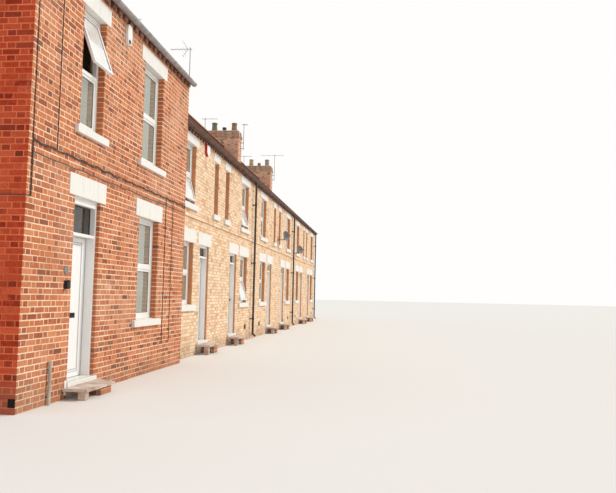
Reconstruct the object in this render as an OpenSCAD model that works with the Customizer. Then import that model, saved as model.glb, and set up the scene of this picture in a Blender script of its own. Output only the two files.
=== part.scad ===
// Terraced house row: a tall end house and handed pairs of lower houses, drawn in millimetres.
// The street fronts face -Y, the row runs along +X and the ground is at z = 0.
// The origin is on the base of the party wall between the first two pairs, half way through its depth.

/* [Plan] */
// Width of the tall end house
end_w = 6220; // [5800:10:6800]
// Width of the first lower house, which meets the end house
first_w = 3985; // [3900:5:4500]
// Width of every other lower house
house_w = 4550; // [4300:10:5000]
// Number of handed pairs of lower houses
pairs = 3; // [2:1:3]
// Depth of the lower houses from front face to rear face
row_depth = 6870; // [6200:10:7600]
// Distance that the lower fronts stand behind the end house front
setback = 230; // [180:5:300]
// Thickness of the brick walls
wall_t = 230; // [215:5:260]

/* [Roofs] */
// Height at which the end house roof meets its front face
end_plate_z = 5928; // [5850:1:6100]
// Height at which the lower roof meets its front face
row_plate_z = 5225; // [5220:1:5400]
// Pitch of all roof slopes in degrees
pitch = 42; // [40:1:45]
// Thickness of the tiled covering, square to the slope
roof_t = 35; // [30:1:60]
// Distance that the covering reaches past the walls
roof_over = 110; // [90:5:120]
// Distance that the covering stands past the gable face
verge_over = 35; // [0:5:60]
// Outer radius of the half-round ridge tiles
ridge_r = 115; // [90:5:130]
// Length of one ridge tile
ridge_tile_l = 450; // [300:10:600]

/* [Eaves] */
// Height of one brick course with its joint
course = 77; // [75:1:78]
// Distance that the dentils and their corbel course stand out
dentil_out = 50; // [40:1:55]
// Height of one dentil
dentil_h = 65; // [55:1:66]
// Width of one dentil
dentil_w = 112; // [105:1:118]
// Distance from one dentil to the next
dentil_step = 230; // [215:5:240]
// Outer radius of the half-round gutters
gutter_r = 56; // [50:1:60]
// Wall thickness of the gutters
gutter_t = 4; // [3:0.5:6]
// Distance between the corbel course and a gutter's back
gutter_gap = 8; // [6:1:14]
// Distance of a gutter's rim under the roof's edge
gutter_drop = 4; // [2:1:12]
// Distance between gutter brackets
bracket_step = 650; // [500:50:1100]
// Thickness of a gutter bracket
bracket_t = 5; // [3:1:6]
// Height of a bracket's arm
bracket_h = 12; // [8:1:14]
// Radius of the downpipes
pipe_r = 34; // [30:1:38]
// Distance of each downpipe from the middle of its party wall
pipe_shift = 400; // [350:5:450]
// Distance of the end house's rear downpipe from the gable
end_pipe_x = 290; // [200:5:600]
// Distance between a downpipe and the dentils
pipe_gap = 16; // [10:1:24]
// Heights of the clips that hold a downpipe
clip_heights = [600, 2400, 4300]; // [300:50:4600]

/* [Floors] */
// Height of the ground floor in the end house
end_floor_z = 215; // [180:5:260]
// Height of the ground floor in the lower houses
row_floor_z = 290; // [240:5:320]
// Thickness of the ground floors
ground_floor_t = 150; // [120:5:170]
// Height of the first floor in the end house
end_first_z = 3330; // [3280:5:3500]
// Height of the first floor in the lower houses
row_first_z = 3140; // [3080:5:3250]
// Thickness of the first floors, from ceiling to boards
first_floor_t = 220; // [180:5:240]

/* [Windows] */
// Width of a wide window opening
wide_w = 970; // [850:10:1050]
// Width of a narrow upper window opening in the lower houses
narrow_w = 450; // [380:10:550]
// Width of the small upper window opening in the end house
small_w = 735; // [650:5:850]
// Depth of the brick reveal in front of a window frame
window_reveal = 104; // [90:2:115]
// Width of the window frame bars
bar_w = 55; // [45:1:70]
// Depth of the window frames from front to back
frame_d = 70; // [55:1:90]
// Thickness of the double glass
glass_t = 20; // [14:1:28]
// Share of a ground window's height that lies under its middle bar
ground_share = 0.51; // [0.45:0.01:0.6]
// Share of an upper window's height that lies under its middle bar
upper_share = 0.49; // [0.45:0.01:0.6]
// Distance that the lintels stand out of the brickwork
lintel_out = 10; // [6:1:15]
// Depth of a lintel behind the brick face
lintel_in = 100; // [80:2:110]
// Distance that lintels and sills reach past each side of a wide opening
wide_past = 175; // [140:5:190]
// Distance that lintels and sills reach past each side of a small opening
small_past = 140; // [110:5:170]
// Distance that lintels and sills reach past each side of a narrow opening
narrow_past = 97; // [80:1:110]
// Distance that the sills stand out of the brickwork
sill_out = 55; // [40:1:70]
// Height of the end house sills at their front
end_sill_h = 108; // [90:2:140]
// Height of the row's sills at their front
row_sill_h = 130; // [100:2:140]
// Slope of a sill's top in degrees
sill_fall = 7; // [4:1:10]
// Angle at which the open light of the end house stands, in degrees
end_light_swing = 20; // [8:1:35]
// Angle at which the row's open lights stand, in degrees
row_light_swing = 14; // [8:1:30]

/* [Window heights] */
// Sill height of the end house ground window
end_low_sill_z = 975; // [900:5:1050]
// Head height of the end house ground openings
end_low_head_z = 2730; // [2650:5:2800]
// Sill height of the end house upper windows
end_up_sill_z = 3715; // [3650:5:3800]
// Head height of the end house upper windows
end_up_head_z = 5423; // [5350:1:5450]
// Sill height of the row's ground windows
row_low_sill_z = 1183; // [1100:1:1250]
// Head height of the row's ground openings
row_low_head_z = 2585; // [2500:5:2640]
// Sill height of the row's upper windows
row_up_sill_z = 3465; // [3400:5:3550]
// Head height of the row's upper windows
row_up_head_z = 4815; // [4740:5:4820]
// Height of the ground floor lintels
low_lintel_h = 295; // [250:5:310]
// Height of the upper lintels on the end house
end_up_lintel_h = 255; // [220:5:260]
// Height of the upper lintels on the row
row_up_lintel_h = 215; // [195:5:220]
// Underside of the projecting string course along the lower houses
string_z = 3140; // [3090:1:3170]
// Distance that the string course stands out
string_out = 35; // [20:1:40]

/* [Window places] */
// Middle of the end house door from the left corner
end_door_x = 1660; // [1600:5:1750]
// Middle of the end house wide windows from the left corner
end_window_x = 4145; // [4000:5:4300]
// Middle of a lower house door from the middle of its pair
door_off = 1545; // [1500:5:1600]
// Middle of a lower house wide window from the middle of its pair
window_off = 2980; // [2900:5:3020]
// Middle of a narrow upper window from the middle of its pair
narrow_off = 600; // [560:5:680]

/* [Doors] */
// Width of the doorways in the brickwork
door_w = 820; // [800:5:880]
// Depth of the brick reveal in front of a door frame
door_reveal = 55; // [45:1:70]
// Thickness of a frame beside the door leaf
jamb_t = 25; // [20:1:32]
// Distance that the door stop stands out of its frame
stop_t = 15; // [10:1:18]
// Height of the end house door leaf
end_leaf_h = 1966; // [1900:1:2060]
// Height of the row's door leaves
row_leaf_h = 1981; // [1900:1:2000]
// Thickness of a door leaf
leaf_t = 44; // [38:1:50]
// Width of the stiles at the sides of a leaf
stile_w = 113; // [100:1:130]
// Height of the rails at a leaf's top and bottom
rail_h = 65; // [55:1:120]
// Depth of a leaf's sunk panel
panel_deep = 9; // [5:1:14]
// Width of a letter plate
letter_w = 240; // [200:5:280]
// Height of a letter plate
letter_h = 70; // [50:1:80]
// Height of a letter plate's foot over the bottom of its leaf
letter_z = 830; // [700:5:870]
// Height of a door knob over the bottom of its leaf
knob_z = 960; // [930:5:1100]
// Distance of a door knob from the edge of its leaf
knob_in = 55; // [45:1:70]
// Radius of a door knob
knob_r = 26; // [20:1:30]
// Gap round a door leaf
leaf_gap = 7; // [6.5:0.5:9]
// Height of the bar between door and fanlight
transom_h = 40; // [34:1:60]
// Height of the end house frame's head above its fanlight
end_head_h = 95; // [50:1:110]
// Height of the row's frame heads above their fanlights
row_head_h = 55; // [45:1:80]
// Radius of the hinge knuckles
knuckle_r = 6; // [5:0.5:8]
// Length of one hinge knuckle
knuckle_l = 48; // [40:1:60]

/* [Doorsteps] */
// Length of a step slab along the street
step_l = 1050; // [930:10:1150]
// Distance that a step slab reaches out of the front
step_out = 345; // [300:5:420]
// Thickness of a step slab
step_t = 42; // [35:1:75]
// Height of the painted nosing that stands on a step
nosing_h = 64; // [50:1:85]
// Width of the small pier under a slab's end
small_pier = 110; // [90:5:140]
// Distance that a slab reaches past its piers
slab_past = 40; // [20:1:60]
// Length of the cut at a slab's front corner
slab_cut = 135; // [60:5:150]
// Distance that a nosing reaches past each side of its doorway
nosing_past = 43; // [0:1:60]
// Distance that a threshold stands out of the brickwork
nosing_out = 40; // [30:1:55]

/* [Chimneys] */
// Size of a stack along the row
stack_w = 675; // [600:5:750]
// Size of a stack across the row
stack_d = 1545; // [1400:5:1650]
// Height that a row stack stands above the ridge line
stack_up = 725; // [500:5:850]
// Height that the end house stack stands above the ridge line
end_stack_up = 800; // [600:10:1100]
// Distance that the top courses of a stack stand out
corbel_out = 30; // [20:1:45]
// Height of the mortar cap on a stack
cap_h = 40; // [30:1:60]
// Outer radius of a chimney pot at its foot
pot_r = 135; // [110:1:140]
// Distance of the outer pots from the ridge line
pot_off = 480; // [440:5:500]
// Height of the pots nearest the street
front_pot_h = 400; // [300:10:500]
// Height of the pots in the middle
middle_pot_h = 200; // [150:10:300]
// Height of the pots nearest the rear
rear_pot_h = 420; // [300:10:500]
// Share of the outer pots' radius that the middle pots have
thin_pot = 0.75; // [0.6:0.05:1]
// Share of a pot's radius that its flue has
flue_share = 0.63; // [0.5:0.01:0.7]

/* [Aerials] */
// Distance from a stack's top down to the foot of its masts
aerial_foot = 820; // [700:10:900]
// Distance of the first mast from its stack
first_off = 240; // [150:5:280]
// Distance of the other masts from their stacks
mast_off = 140; // [80:5:180]
// Distance of the other masts from the middle of their stacks
mast_shift = 150; // [80:5:200]
// Radius of a mast
mast_r = 16; // [12:1:20]
// Radius of a boom
boom_r = 9; // [7:1:12]
// Distance of a boom under its mast's top
boom_drop = 50; // [30:5:80]
// Length of the longest cross rod
rod_l = 380; // [300:10:450]
// Number of cross rods on a boom
rods = 7; // [5:1:9]
// Height of the mast in front of the first row stack
first_mast_h = 1570; // [1400:5:1700]
// Height of the mast behind the first row stack
high_mast_h = 2600; // [2400:10:2700]
// Height of the masts behind the other row stacks
rear_mast_h = 1495; // [1450:5:1600]
// Height of the mast in front of the second row stack
short_mast_h = 1281; // [1100:1:1400]
// Height of the mast in front of the last row stack
tall_mast_h = 1612; // [1500:1:1800]
// Length of a long boom
long_boom_l = 1410; // [1200:10:1500]
// Length of a middling boom
boom_l = 760; // [600:10:900]
// Distance of the reflector's wings from the first mast
wing_along = 90; // [60:5:150]
// Length of a wing of the reflector
wing_l = 300; // [200:5:340]
// Length of a short boom
short_boom_l = 300; // [200:10:340]

/* [Fittings] */
// Distance of the end house alarm box past the middle of the door
end_alarm_off = 1160; // [1000:5:1200]
// Width of the end house alarm box
end_alarm_w = 200; // [150:5:240]
// Height of the end house alarm box
end_alarm_h = 335; // [300:5:360]
// Depth of the end house alarm box
end_alarm_d = 50; // [40:1:80]
// Distance of the row's alarm box before the middle of the first pair
row_alarm_off = 1665; // [1500:5:1750]
// Width of the row's alarm box
row_alarm_w = 280; // [200:5:300]
// Height of the row's alarm box
row_alarm_h = 275; // [230:5:300]
// Depth of the row's alarm box
row_alarm_d = 60; // [50:1:90]
// Distance of an alarm box under the dentils
alarm_drop = 8; // [5:1:40]
// Height of the first dish's bracket
first_dish_z = 3645; // [3500:5:3800]
// Distance of the first dish past the middle of the second pair
first_dish_off = 280; // [200:5:300]
// Height of the second dish's bracket
second_dish_z = 3390; // [3350:5:3600]
// Distance of the second dish past the second joint
second_dish_off = 215; // [150:5:300]
// Radius of a dish
dish_r = 200; // [180:5:240]
// Distance of the lantern before the middle of the end house door
lantern_off = 584; // [560:1:650]
// Height of the lantern's middle
lantern_z = 1510; // [1450:5:1600]
// Height of the round plaque's middle
plaque_z = 1708; // [1680:1:1800]
// Radius of the round plaque
plaque_r = 55; // [40:1:65]
// Distance of the service pipe before the middle of the end house door
service_off = 941; // [900:1:1000]
// Height of the service pipe
service_h = 550; // [400:10:650]
// Radius of the service pipe
service_r = 20; // [15:1:25]

/* [Cables] */
// Radius of a thin cable
cable_r = 6; // [5:0.5:8]
// Radius of the bundle of cables that crosses the end house
bundle_r = 11; // [8:0.5:14]
// Height of the thin cable that crosses the end house over its ground lintel
low_cable_up = 60; // [30:5:90]
// Height of the bundle over the thin cable
bundle_up = 150; // [60:5:180]
// Distance of the corner cable from the gable face
corner_cable_x = 90; // [60:5:120]
// Distance of the second upright cable from the gable face
second_cable_x = 690; // [500:5:720]
// Distances of the two lower drops past the middle of the wide windows
first_drop_off = 855; // [700:5:900]
second_drop_off = 1265; // [1100:5:1500]
// Height at which the drops end
drop_z = 520; // [300:10:900]
// Height of the cable that turns the corner onto the gable
gable_cable_z = 2550; // [2500:5:2600]

/* [Hidden] */
$fn = 48;
eps = 1;
seat_gap = 0.3;

row_y = setback;
back_y = row_y + row_depth;
row_x = end_w;
end_ridge_y = back_y / 2;
row_ridge_y = (row_y + back_y) / 2;
roof_v = roof_t / cos(pitch);
end_rise = end_ridge_y * tan(pitch);
row_rise = row_depth / 2 * tan(pitch);
end_ridge_z = end_plate_z + end_rise + roof_v;
row_ridge_z = row_plate_z + row_rise + roof_v;

function pair_x(i) = row_x + first_w + 2 * house_w * i;
total_w = pair_x(pairs - 1) + house_w;
origin_x = pair_x(0) + house_w;
origin_y = row_ridge_y;
sides = [-1, 1];
pair_list = [for (i = [0:pairs - 1]) pair_x(i)];
joint_list = [for (x = pair_list) x + house_w];
pipe_list = [for (x = joint_list) x - pipe_shift];

// One entry for each front door: middle, front face, floor, opening's head, hinge side, leaf, frame head
doors = concat([[end_door_x, 0, end_floor_z, end_low_head_z, 1, end_leaf_h, end_head_h]],
    [for (x = pair_list) for (s = sides)
        [x + s * door_off, row_y, row_floor_z, row_low_head_z, -s, row_leaf_h, row_head_h]]);

// One entry for each window: middle, width, sill, head, lintel height, sill height, reach past the opening
end_windows = [
    [end_window_x, wide_w, end_low_sill_z, end_low_head_z, low_lintel_h, end_sill_h, wide_past],
    [end_window_x, wide_w, end_up_sill_z, end_up_head_z, end_up_lintel_h, end_sill_h, wide_past],
    [end_door_x, small_w, end_up_sill_z, end_up_head_z, end_up_lintel_h, end_sill_h, small_past]];
row_windows = [for (x = pair_list) for (s = sides) each [
    [x + s * window_off, wide_w, row_low_sill_z, row_low_head_z, low_lintel_h, row_sill_h, wide_past],
    [x + s * window_off, wide_w, row_up_sill_z, row_up_head_z, row_up_lintel_h, row_sill_h, wide_past],
    [x + s * narrow_off, narrow_w, row_up_sill_z, row_up_head_z, row_up_lintel_h, row_sill_h, narrow_past]]];

// The rear fronts repeat the wide windows only
function wide_only(list) = [for (w = list) if (w[1] == wide_w) w];

// Windows that have a light pushed open: 1 opens the upper light and -1 the lower one
function open_light(w) = w == end_windows[2] ? 1
    : w == row_windows[1] || w == row_windows[3] || w == row_windows[4] ? -1 : 0;

// Moves the whole row so that the origin is at its reference point
module placed() {
    translate([-origin_x, -origin_y, 0]) children();
}

// Box from one corner to the other
module block(low, high) {
    translate(low) cube(high - low);
}

// Stands an outline of x and z upright, with its depth running along +Y
module upright(depth) {
    rotate([90, 0, 0]) translate([0, 0, -depth]) linear_extrude(depth) children();
}

// Stands an outline of y and z upright and runs it along +X
module along_row(length) {
    rotate([90, 0, 90]) linear_extrude(length) children();
}

// Repeats a front piece on the rear, turned to face +Y
module mirrored_to_rear(face_y) {
    translate([0, face_y + back_y, 0]) mirror([0, 1, 0]) children();
}

// Walls
sill_drop = (window_reveal + sill_out) * tan(sill_fall);

// Cuts a window through a wall, down to its sloping sill, and seats its lintel and sill
module window_cut(w, face_y) {
    block([w[0] - w[1] / 2, face_y - eps, w[2]], [w[0] + w[1] / 2, face_y + wall_t + eps, w[3]]);
    block([w[0] - w[1] / 2, face_y - eps, w[2] - sill_drop], [w[0] + w[1] / 2, face_y + window_reveal, w[3]]);
    lintel(w, face_y);
    sill(w, face_y);
}

module lintel(w, face_y) {
    half = w[1] / 2 + w[6];
    block([w[0] - half, face_y - lintel_out, w[3]], [w[0] + half, face_y + lintel_in, w[3] + w[4]]);
}

module door_lintel(d) {
    lintel([d[0], door_w, 0, d[3], low_lintel_h, 0, wide_past], d[1]);
}

// Sill with a sloping top and a drip groove under its nose
module sill(w, face_y) {
    length = w[1] + 2 * w[6];
    low = -sill_drop - w[5];
    translate([w[0] - length / 2, face_y, w[2]]) along_row(length) difference() {
        polygon([[-sill_out, -sill_drop], [window_reveal, 0], [window_reveal, low], [-sill_out, low]]);
        translate([-sill_out + 18, low]) circle(r = 6);
    }
}

module wall_section(face_y, z0, plate_z) {
    inner_z = plate_z + wall_t * tan(pitch);
    polygon([[face_y, z0], [face_y + wall_t, z0], [face_y + wall_t, inner_z], [face_y, plate_z]]);
}

module end_front_wall_left() {
    color("sienna") placed()
        block([0, 0, 0], [end_door_x - door_w / 2, wall_t, end_low_head_z]);
}

module end_front_wall_right() {
    color("sienna") placed() difference() {
        block([end_door_x + door_w / 2, 0, 0], [end_w, wall_t, end_low_head_z]);
        window_cut(end_windows[0], 0);
    }
}

module end_front_wall_upper() {
    color("sienna") placed() difference() {
        along_row(end_w) wall_section(0, end_low_head_z, end_plate_z);
        for (w = end_windows) window_cut(w, 0);
        door_lintel(doors[0]);
    }
}

// Outline of a cross wall under the roof, with a flat seat for a stack
module cross_outline(face_y, plate_z, ridge_y, seat) {
    rise = (ridge_y - face_y) * tan(pitch);
    inner_z = plate_z + wall_t * tan(pitch);
    seat_z = plate_z + rise - stack_d / 2 * tan(pitch);
    difference() {
        polygon([[face_y + wall_t, 0], [back_y - wall_t, 0], [back_y - wall_t, inner_z],
            [ridge_y, plate_z + rise], [face_y + wall_t, inner_z]]);
        if (seat) translate([ridge_y - stack_d / 2, seat_z]) square([stack_d, rise]);
    }
}

module end_gable_wall() {
    color("firebrick") placed() along_row(wall_t) cross_outline(0, end_plate_z, end_ridge_y, false);
}

module end_party_wall() {
    color("sienna") placed() translate([end_w - wall_t, 0, 0])
        along_row(wall_t) cross_outline(0, end_plate_z, end_ridge_y, true);
}

module end_rear_wall() {
    color("sienna") placed() mirrored_to_rear(0) difference() {
        along_row(end_w) wall_section(0, 0, end_plate_z);
        for (w = wide_only(end_windows)) window_cut(w, 0);
    }
}

module row_front_wall_lower() {
    starts = concat([row_x], [for (i = [1:len(doors) - 1]) doors[i][0] + door_w / 2]);
    stops = concat([for (i = [1:len(doors) - 1]) doors[i][0] - door_w / 2], [total_w]);
    color("peru") placed() difference() {
        for (i = [0:len(starts) - 1])
            block([starts[i], row_y, 0], [stops[i], row_y + wall_t, row_low_head_z]);
        for (w = row_windows) window_cut(w, row_y);
    }
}

module row_front_wall_upper() {
    color("peru") placed() difference() {
        translate([row_x, 0, 0]) along_row(total_w - row_x) wall_section(row_y, row_low_head_z, row_plate_z);
        for (w = row_windows) window_cut(w, row_y);
        for (i = [1:len(doors) - 1]) door_lintel(doors[i]);
    }
}

module row_rear_wall() {
    color("peru") placed() mirrored_to_rear(row_y) difference() {
        translate([row_x, 0, 0]) along_row(total_w - row_x) wall_section(row_y, 0, row_plate_z);
        for (w = wide_only(row_windows)) window_cut(w, row_y);
    }
}

module row_party_walls() {
    color("peru") placed() {
        for (x = pair_list) translate([x - wall_t / 2, 0, 0])
            along_row(wall_t) cross_outline(row_y, row_plate_z, row_ridge_y, false);
        for (i = [0:pairs - 2]) translate([joint_list[i] - wall_t / 2, 0, 0])
            along_row(wall_t) cross_outline(row_y, row_plate_z, row_ridge_y, true);
    }
}

module row_end_wall() {
    color("peru") placed() translate([total_w - wall_t, 0, 0])
        along_row(wall_t) cross_outline(row_y, row_plate_z, row_ridge_y, true);
}

// Floors
module floor_slab(x0, x1, face_y, top, thick) {
    block([x0, face_y + wall_t, top - thick], [x1, back_y - wall_t, top]);
}

module end_floors() {
    color("burlywood") placed() {
        floor_slab(wall_t, end_w - wall_t, 0, end_floor_z, ground_floor_t);
        floor_slab(wall_t, end_w - wall_t, 0, end_first_z, first_floor_t);
    }
}

module row_floors() {
    edges = concat([row_x - wall_t / 2], [for (x = pair_list) each [x, x + house_w]]);
    color("burlywood") placed() for (i = [0:2 * pairs - 1]) {
        last = i == 2 * pairs - 1;
        x0 = edges[i] + wall_t / 2;
        x1 = edges[i + 1] - (last ? wall_t : wall_t / 2);
        floor_slab(x0, x1, row_y, row_floor_z, ground_floor_t);
        floor_slab(x0, x1, row_y, row_first_z, first_floor_t);
    }
}

// Roofs
// One slope from its eaves to the middle of the ridge
module slope_outline(face_y, plate_z, ridge_y) {
    low = plate_z - roof_over * tan(pitch);
    high = plate_z + (ridge_y - eps - face_y) * tan(pitch);
    polygon([[face_y - roof_over, low], [ridge_y - eps, high], [ridge_y - eps, high + roof_v],
        [face_y - roof_over, low + roof_v]]);
}

module roof(x0, x1, face_y, plate_z, ridge_y) {
    translate([x0, 0, 0]) along_row(x1 - x0) {
        slope_outline(face_y, plate_z, ridge_y);
        translate([2 * ridge_y, 0]) mirror([1, 0]) slope_outline(face_y, plate_z, ridge_y);
    }
}

module end_roof() {
    color("dimgray") placed() difference() {
        roof(-verge_over, end_w, 0, end_plate_z, end_ridge_y);
        stack_shaft(end_w - stack_w, end_ridge_y, 0, end_ridge_z + end_stack_up);
    }
}

module row_roof() {
    color("dimgray") placed() difference() {
        roof(row_x, total_w, row_y, row_plate_z, row_ridge_y);
        for (x = row_stacks) stack_shaft(x, row_ridge_y, 0, row_ridge_z + stack_up);
    }
}

// Half-round ridge tiles bedded over the joint of two slopes, with a raised rim at each tile's end
module ridge_run(x0, x1, ridge_y, ridge_z) {
    count = max(1, round((x1 - x0) / ridge_tile_l));
    pitch_l = (x1 - x0) / count;
    bed = ridge_r * 0.45;
    translate([x0, ridge_y, ridge_z - bed]) difference() {
        along_row(x1 - x0) intersection() {
            circle(r = ridge_r);
            translate([-ridge_r, 0]) square([2 * ridge_r, ridge_r]);
        }
        translate([-eps, 0, 0]) along_row(x1 - x0 + 2 * eps) slope_mask(ridge_y - bed, bed + seat_gap);
        for (i = [1:count - 1]) translate([i * pitch_l - 3, 0, 0]) along_row(6) difference() {
            circle(r = ridge_r + eps);
            circle(r = ridge_r - 5);
        }
    }
}

// The two slopes below a ridge tile, as one outline round the ridge point
module slope_mask(reach, bed) {
    polygon([[0, bed], [reach, bed - reach * tan(pitch)], [-reach, bed - reach * tan(pitch)]]);
}

module ridge_tiles() {
    gaps = concat([row_x], [for (x = row_stacks) each [x, x + stack_w]]);
    color("maroon") placed() {
        ridge_run(-verge_over, end_w - stack_w, end_ridge_y, end_ridge_z);
        for (i = [0:len(row_stacks) - 1]) ridge_run(gaps[2 * i], gaps[2 * i + 1], row_ridge_y, row_ridge_z);
    }
}

// Eaves
function corbel_z(plate_z) = plate_z - dentil_out * tan(pitch);
function dentil_foot(plate_z) = corbel_z(plate_z) - course - dentil_h;

// Corbel course under the roof's edge with a dentil under every second header
module eaves(x0, x1, face_y, plate_z) {
    top = corbel_z(plate_z);
    count = floor((x1 - x0 - dentil_w) / dentil_step);
    start = x0 + (x1 - x0 - count * dentil_step - dentil_w) / 2;
    translate([x0, face_y, 0]) along_row(x1 - x0)
        polygon([[0, top - course], [-dentil_out, top - course], [-dentil_out, top], [0, plate_z]]);
    for (i = [0:count])
        block([start + i * dentil_step, face_y - dentil_out, top - course - dentil_h],
            [start + i * dentil_step + dentil_w, face_y, top - course]);
}

module eaves_dentils() {
    color("chocolate") placed() {
        eaves(0, end_w, 0, end_plate_z);
        eaves(row_x, total_w, row_y, row_plate_z);
        mirrored_to_rear(0) eaves(0, row_x, 0, end_plate_z);
        mirrored_to_rear(row_y) eaves(row_x, total_w, row_y, row_plate_z);
    }
}

module string_course() {
    color("chocolate") placed()
        block([row_x, row_y - string_out, string_z], [total_w, row_y, string_z + course]);
}

function gutter_y(face_y) = face_y - dentil_out - gutter_gap - gutter_r;
function gutter_z(plate_z) = plate_z - roof_over * tan(pitch) - gutter_drop;

// Half-round gutter on brackets that reach back to the corbel course and leave room for the pipes
module gutter(x0, x1, face_y, plate_z, pipes) {
    y = gutter_y(face_y);
    z = gutter_z(plate_z);
    width = 30;
    inset = 40;
    count = floor((x1 - x0) / bracket_step);
    step = (x1 - x0 - 2 * inset - width) / count;
    translate([x0, y, z]) along_row(x1 - x0) half_ring(gutter_r, gutter_t);
    for (x = [x0, x1 - gutter_t]) translate([x, y, z]) along_row(gutter_t) half_ring(gutter_r, gutter_r);
    for (i = [0:count]) {
        x = x0 + inset + i * step;
        if (len([for (p = pipes) if (abs(x + width / 2 - p) < pipe_r + 2 * width) p]) == 0)
            translate([x, y, z]) along_row(width) {
                half_ring(gutter_r + bracket_t, bracket_t + eps);
                translate([gutter_r - eps, -bracket_h - eps]) square([gutter_gap + eps, bracket_h]);
            }
    }
}

// Lower half of a ring, or of a disc where the wall is as thick as the radius
module half_ring(r, t) {
    intersection() {
        difference() {
            circle(r = r);
            if (t < r) circle(r = r - t);
        }
        translate([-r, -r]) square([2 * r, r]);
    }
}

module gutters() {
    color("saddlebrown") placed() {
        gutter(0, end_w, 0, end_plate_z, []);
        gutter(row_x + eps, total_w, row_y, row_plate_z, pipe_list);
        mirrored_to_rear(0) gutter(0, end_w, 0, end_plate_z, [end_pipe_x]);
        mirrored_to_rear(row_y) gutter(row_x + eps, total_w, row_y, row_plate_z, pipe_list);
    }
}

// Downpipe from a saddle under its gutter to a shoe over the ground, held by clips on the wall
module downpipe(x, face_y, plate_z) {
    y = face_y - dentil_out - pipe_gap - pipe_r;
    shoe_z = 170;
    top = gutter_z(plate_z) - gutter_r * 0.6;
    collar_r = pipe_r + 7;
    collar_h = 90;
    translate([x, y, 0]) {
        difference() {
            union() {
                translate([0, 0, shoe_z]) cylinder(r = pipe_r, h = top - shoe_z);
                translate([0, 0, top - collar_h]) cylinder(r = collar_r, h = collar_h);
            }
            translate([-2 * collar_r, gutter_y(face_y) - y, gutter_z(plate_z)]) along_row(4 * collar_r)
                circle(r = gutter_r + seat_gap);
        }
        translate([0, 0, shoe_z]) sphere(r = pipe_r + 6);
        translate([0, 0, shoe_z]) rotate([135, 0, 0]) cylinder(r = pipe_r, h = 130);
        for (z = clip_heights) {
            translate([0, 0, z]) cylinder(r = collar_r, h = collar_h);
            block([-22, 0, z + 30], [22, face_y - y, z + 60]);
            block([-60, face_y - y - 8, z + 15], [60, face_y - y, z + 75]);
        }
    }
}

// Capped service pipe that stands on the ground beside the end house door, held by two clips
module service_pipe() {
    cylinder(r = service_r, h = service_h - 40);
    translate([0, 0, service_h - 40]) cylinder(r = service_r + 4, h = 40);
    for (z = [120, service_h - 140]) {
        translate([0, 0, z]) cylinder(r = service_r + 3, h = 24);
        block([-30, service_r + 6, z - 4], [30, service_r + 12, z + 28]);
        block([-8, 0, z], [8, service_r + 12, z + 24]);
    }
}

module downpipes() {
    color("black") placed() {
        for (x = pipe_list) {
            downpipe(x, row_y, row_plate_z);
            mirrored_to_rear(row_y) downpipe(x, row_y, row_plate_z);
        }
        mirrored_to_rear(0) downpipe(end_pipe_x, 0, end_plate_z);
        translate([end_door_x - service_off, -service_r - 12, 0]) service_pipe();
    }
}

// Window pieces
// Runs its children for every window of the front and the rear
module each_window(list, face_y) {
    for (w = list) {
        $w = w;
        $rear = false;
        children();
    }
    mirrored_to_rear(face_y) for (w = wide_only(list)) {
        $w = w;
        $rear = true;
        children();
    }
}

module window_lintels() {
    color("white") placed() {
        each_window(end_windows, 0) lintel($w, 0);
        each_window(row_windows, row_y) lintel($w, row_y);
    }
}

module door_lintels() {
    color("white") placed() for (d = doors) door_lintel(d);
}

module window_sills() {
    color("white") placed() {
        each_window(end_windows, 0) sill($w, 0);
        each_window(row_windows, row_y) sill($w, row_y);
    }
}

function bar_share(w) = w[2] > row_first_z ? upper_share : ground_share;
function bar_z(w) = w[2] + (w[3] - w[2]) * bar_share(w);
function light_low(w, top) = top ? bar_z(w) + bar_w / 2 : w[2] + bar_w;
function light_high(w, top) = top ? w[3] - bar_w : bar_z(w) - bar_w / 2;
function light_w(w) = w[1] - 2 * bar_w;

// Outer frame of a window with its middle bar
module window_frame(w, face_y) {
    translate([0, face_y + window_reveal, 0]) upright(frame_d) difference() {
        translate([w[0] - w[1] / 2, w[2]]) square([w[1], w[3] - w[2]]);
        for (top = [true, false]) translate([w[0] - light_w(w) / 2, light_low(w, top)])
            square([light_w(w), light_high(w, top) - light_low(w, top)]);
    }
}

module window_frames() {
    color("whitesmoke") placed() {
        each_window(end_windows, 0) window_frame($w, 0);
        each_window(row_windows, row_y) window_frame($w, row_y);
    }
}

module light_glass(w, top, face_y) {
    block([w[0] - light_w(w) / 2, face_y + window_reveal + (frame_d - glass_t) / 2, light_low(w, top)],
        [w[0] + light_w(w) / 2, face_y + window_reveal + (frame_d + glass_t) / 2, light_high(w, top)]);
}

module window_panes(face_y) {
    opened = $rear ? 0 : open_light($w);
    if (opened != 1) light_glass($w, true, face_y);
    if (opened != -1) light_glass($w, false, face_y);
}

module window_glass() {
    color("lightsteelblue") placed() {
        each_window(end_windows, 0) window_panes(0);
        each_window(row_windows, row_y) window_panes(row_y);
    }
}

// Top-hung light pushed open, with its pane inside it, hanging from the bar above it
module pushed_light(w, face_y, swing) {
    top = open_light(w) == 1;
    height = light_high(w, top) - light_low(w, top);
    translate([w[0], face_y + window_reveal, light_high(w, top)]) rotate([-swing, 0, 0])
        translate([-light_w(w) / 2, 0, -height]) {
            upright(bar_w * 0.7) difference() {
                square([light_w(w), height]);
                translate([bar_w * 0.8, bar_w * 0.8]) square([light_w(w) - bar_w * 1.6, height - bar_w * 1.6]);
            }
            translate([bar_w * 0.8, bar_w * 0.2, bar_w * 0.8])
                cube([light_w(w) - bar_w * 1.6, glass_t, height - bar_w * 1.6]);
        }
}

module open_lights() {
    color("whitesmoke") placed() {
        for (w = end_windows) if (open_light(w) != 0) pushed_light(w, 0, end_light_swing);
        for (w = row_windows) if (open_light(w) != 0) pushed_light(w, row_y, row_light_swing);
    }
}

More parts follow.
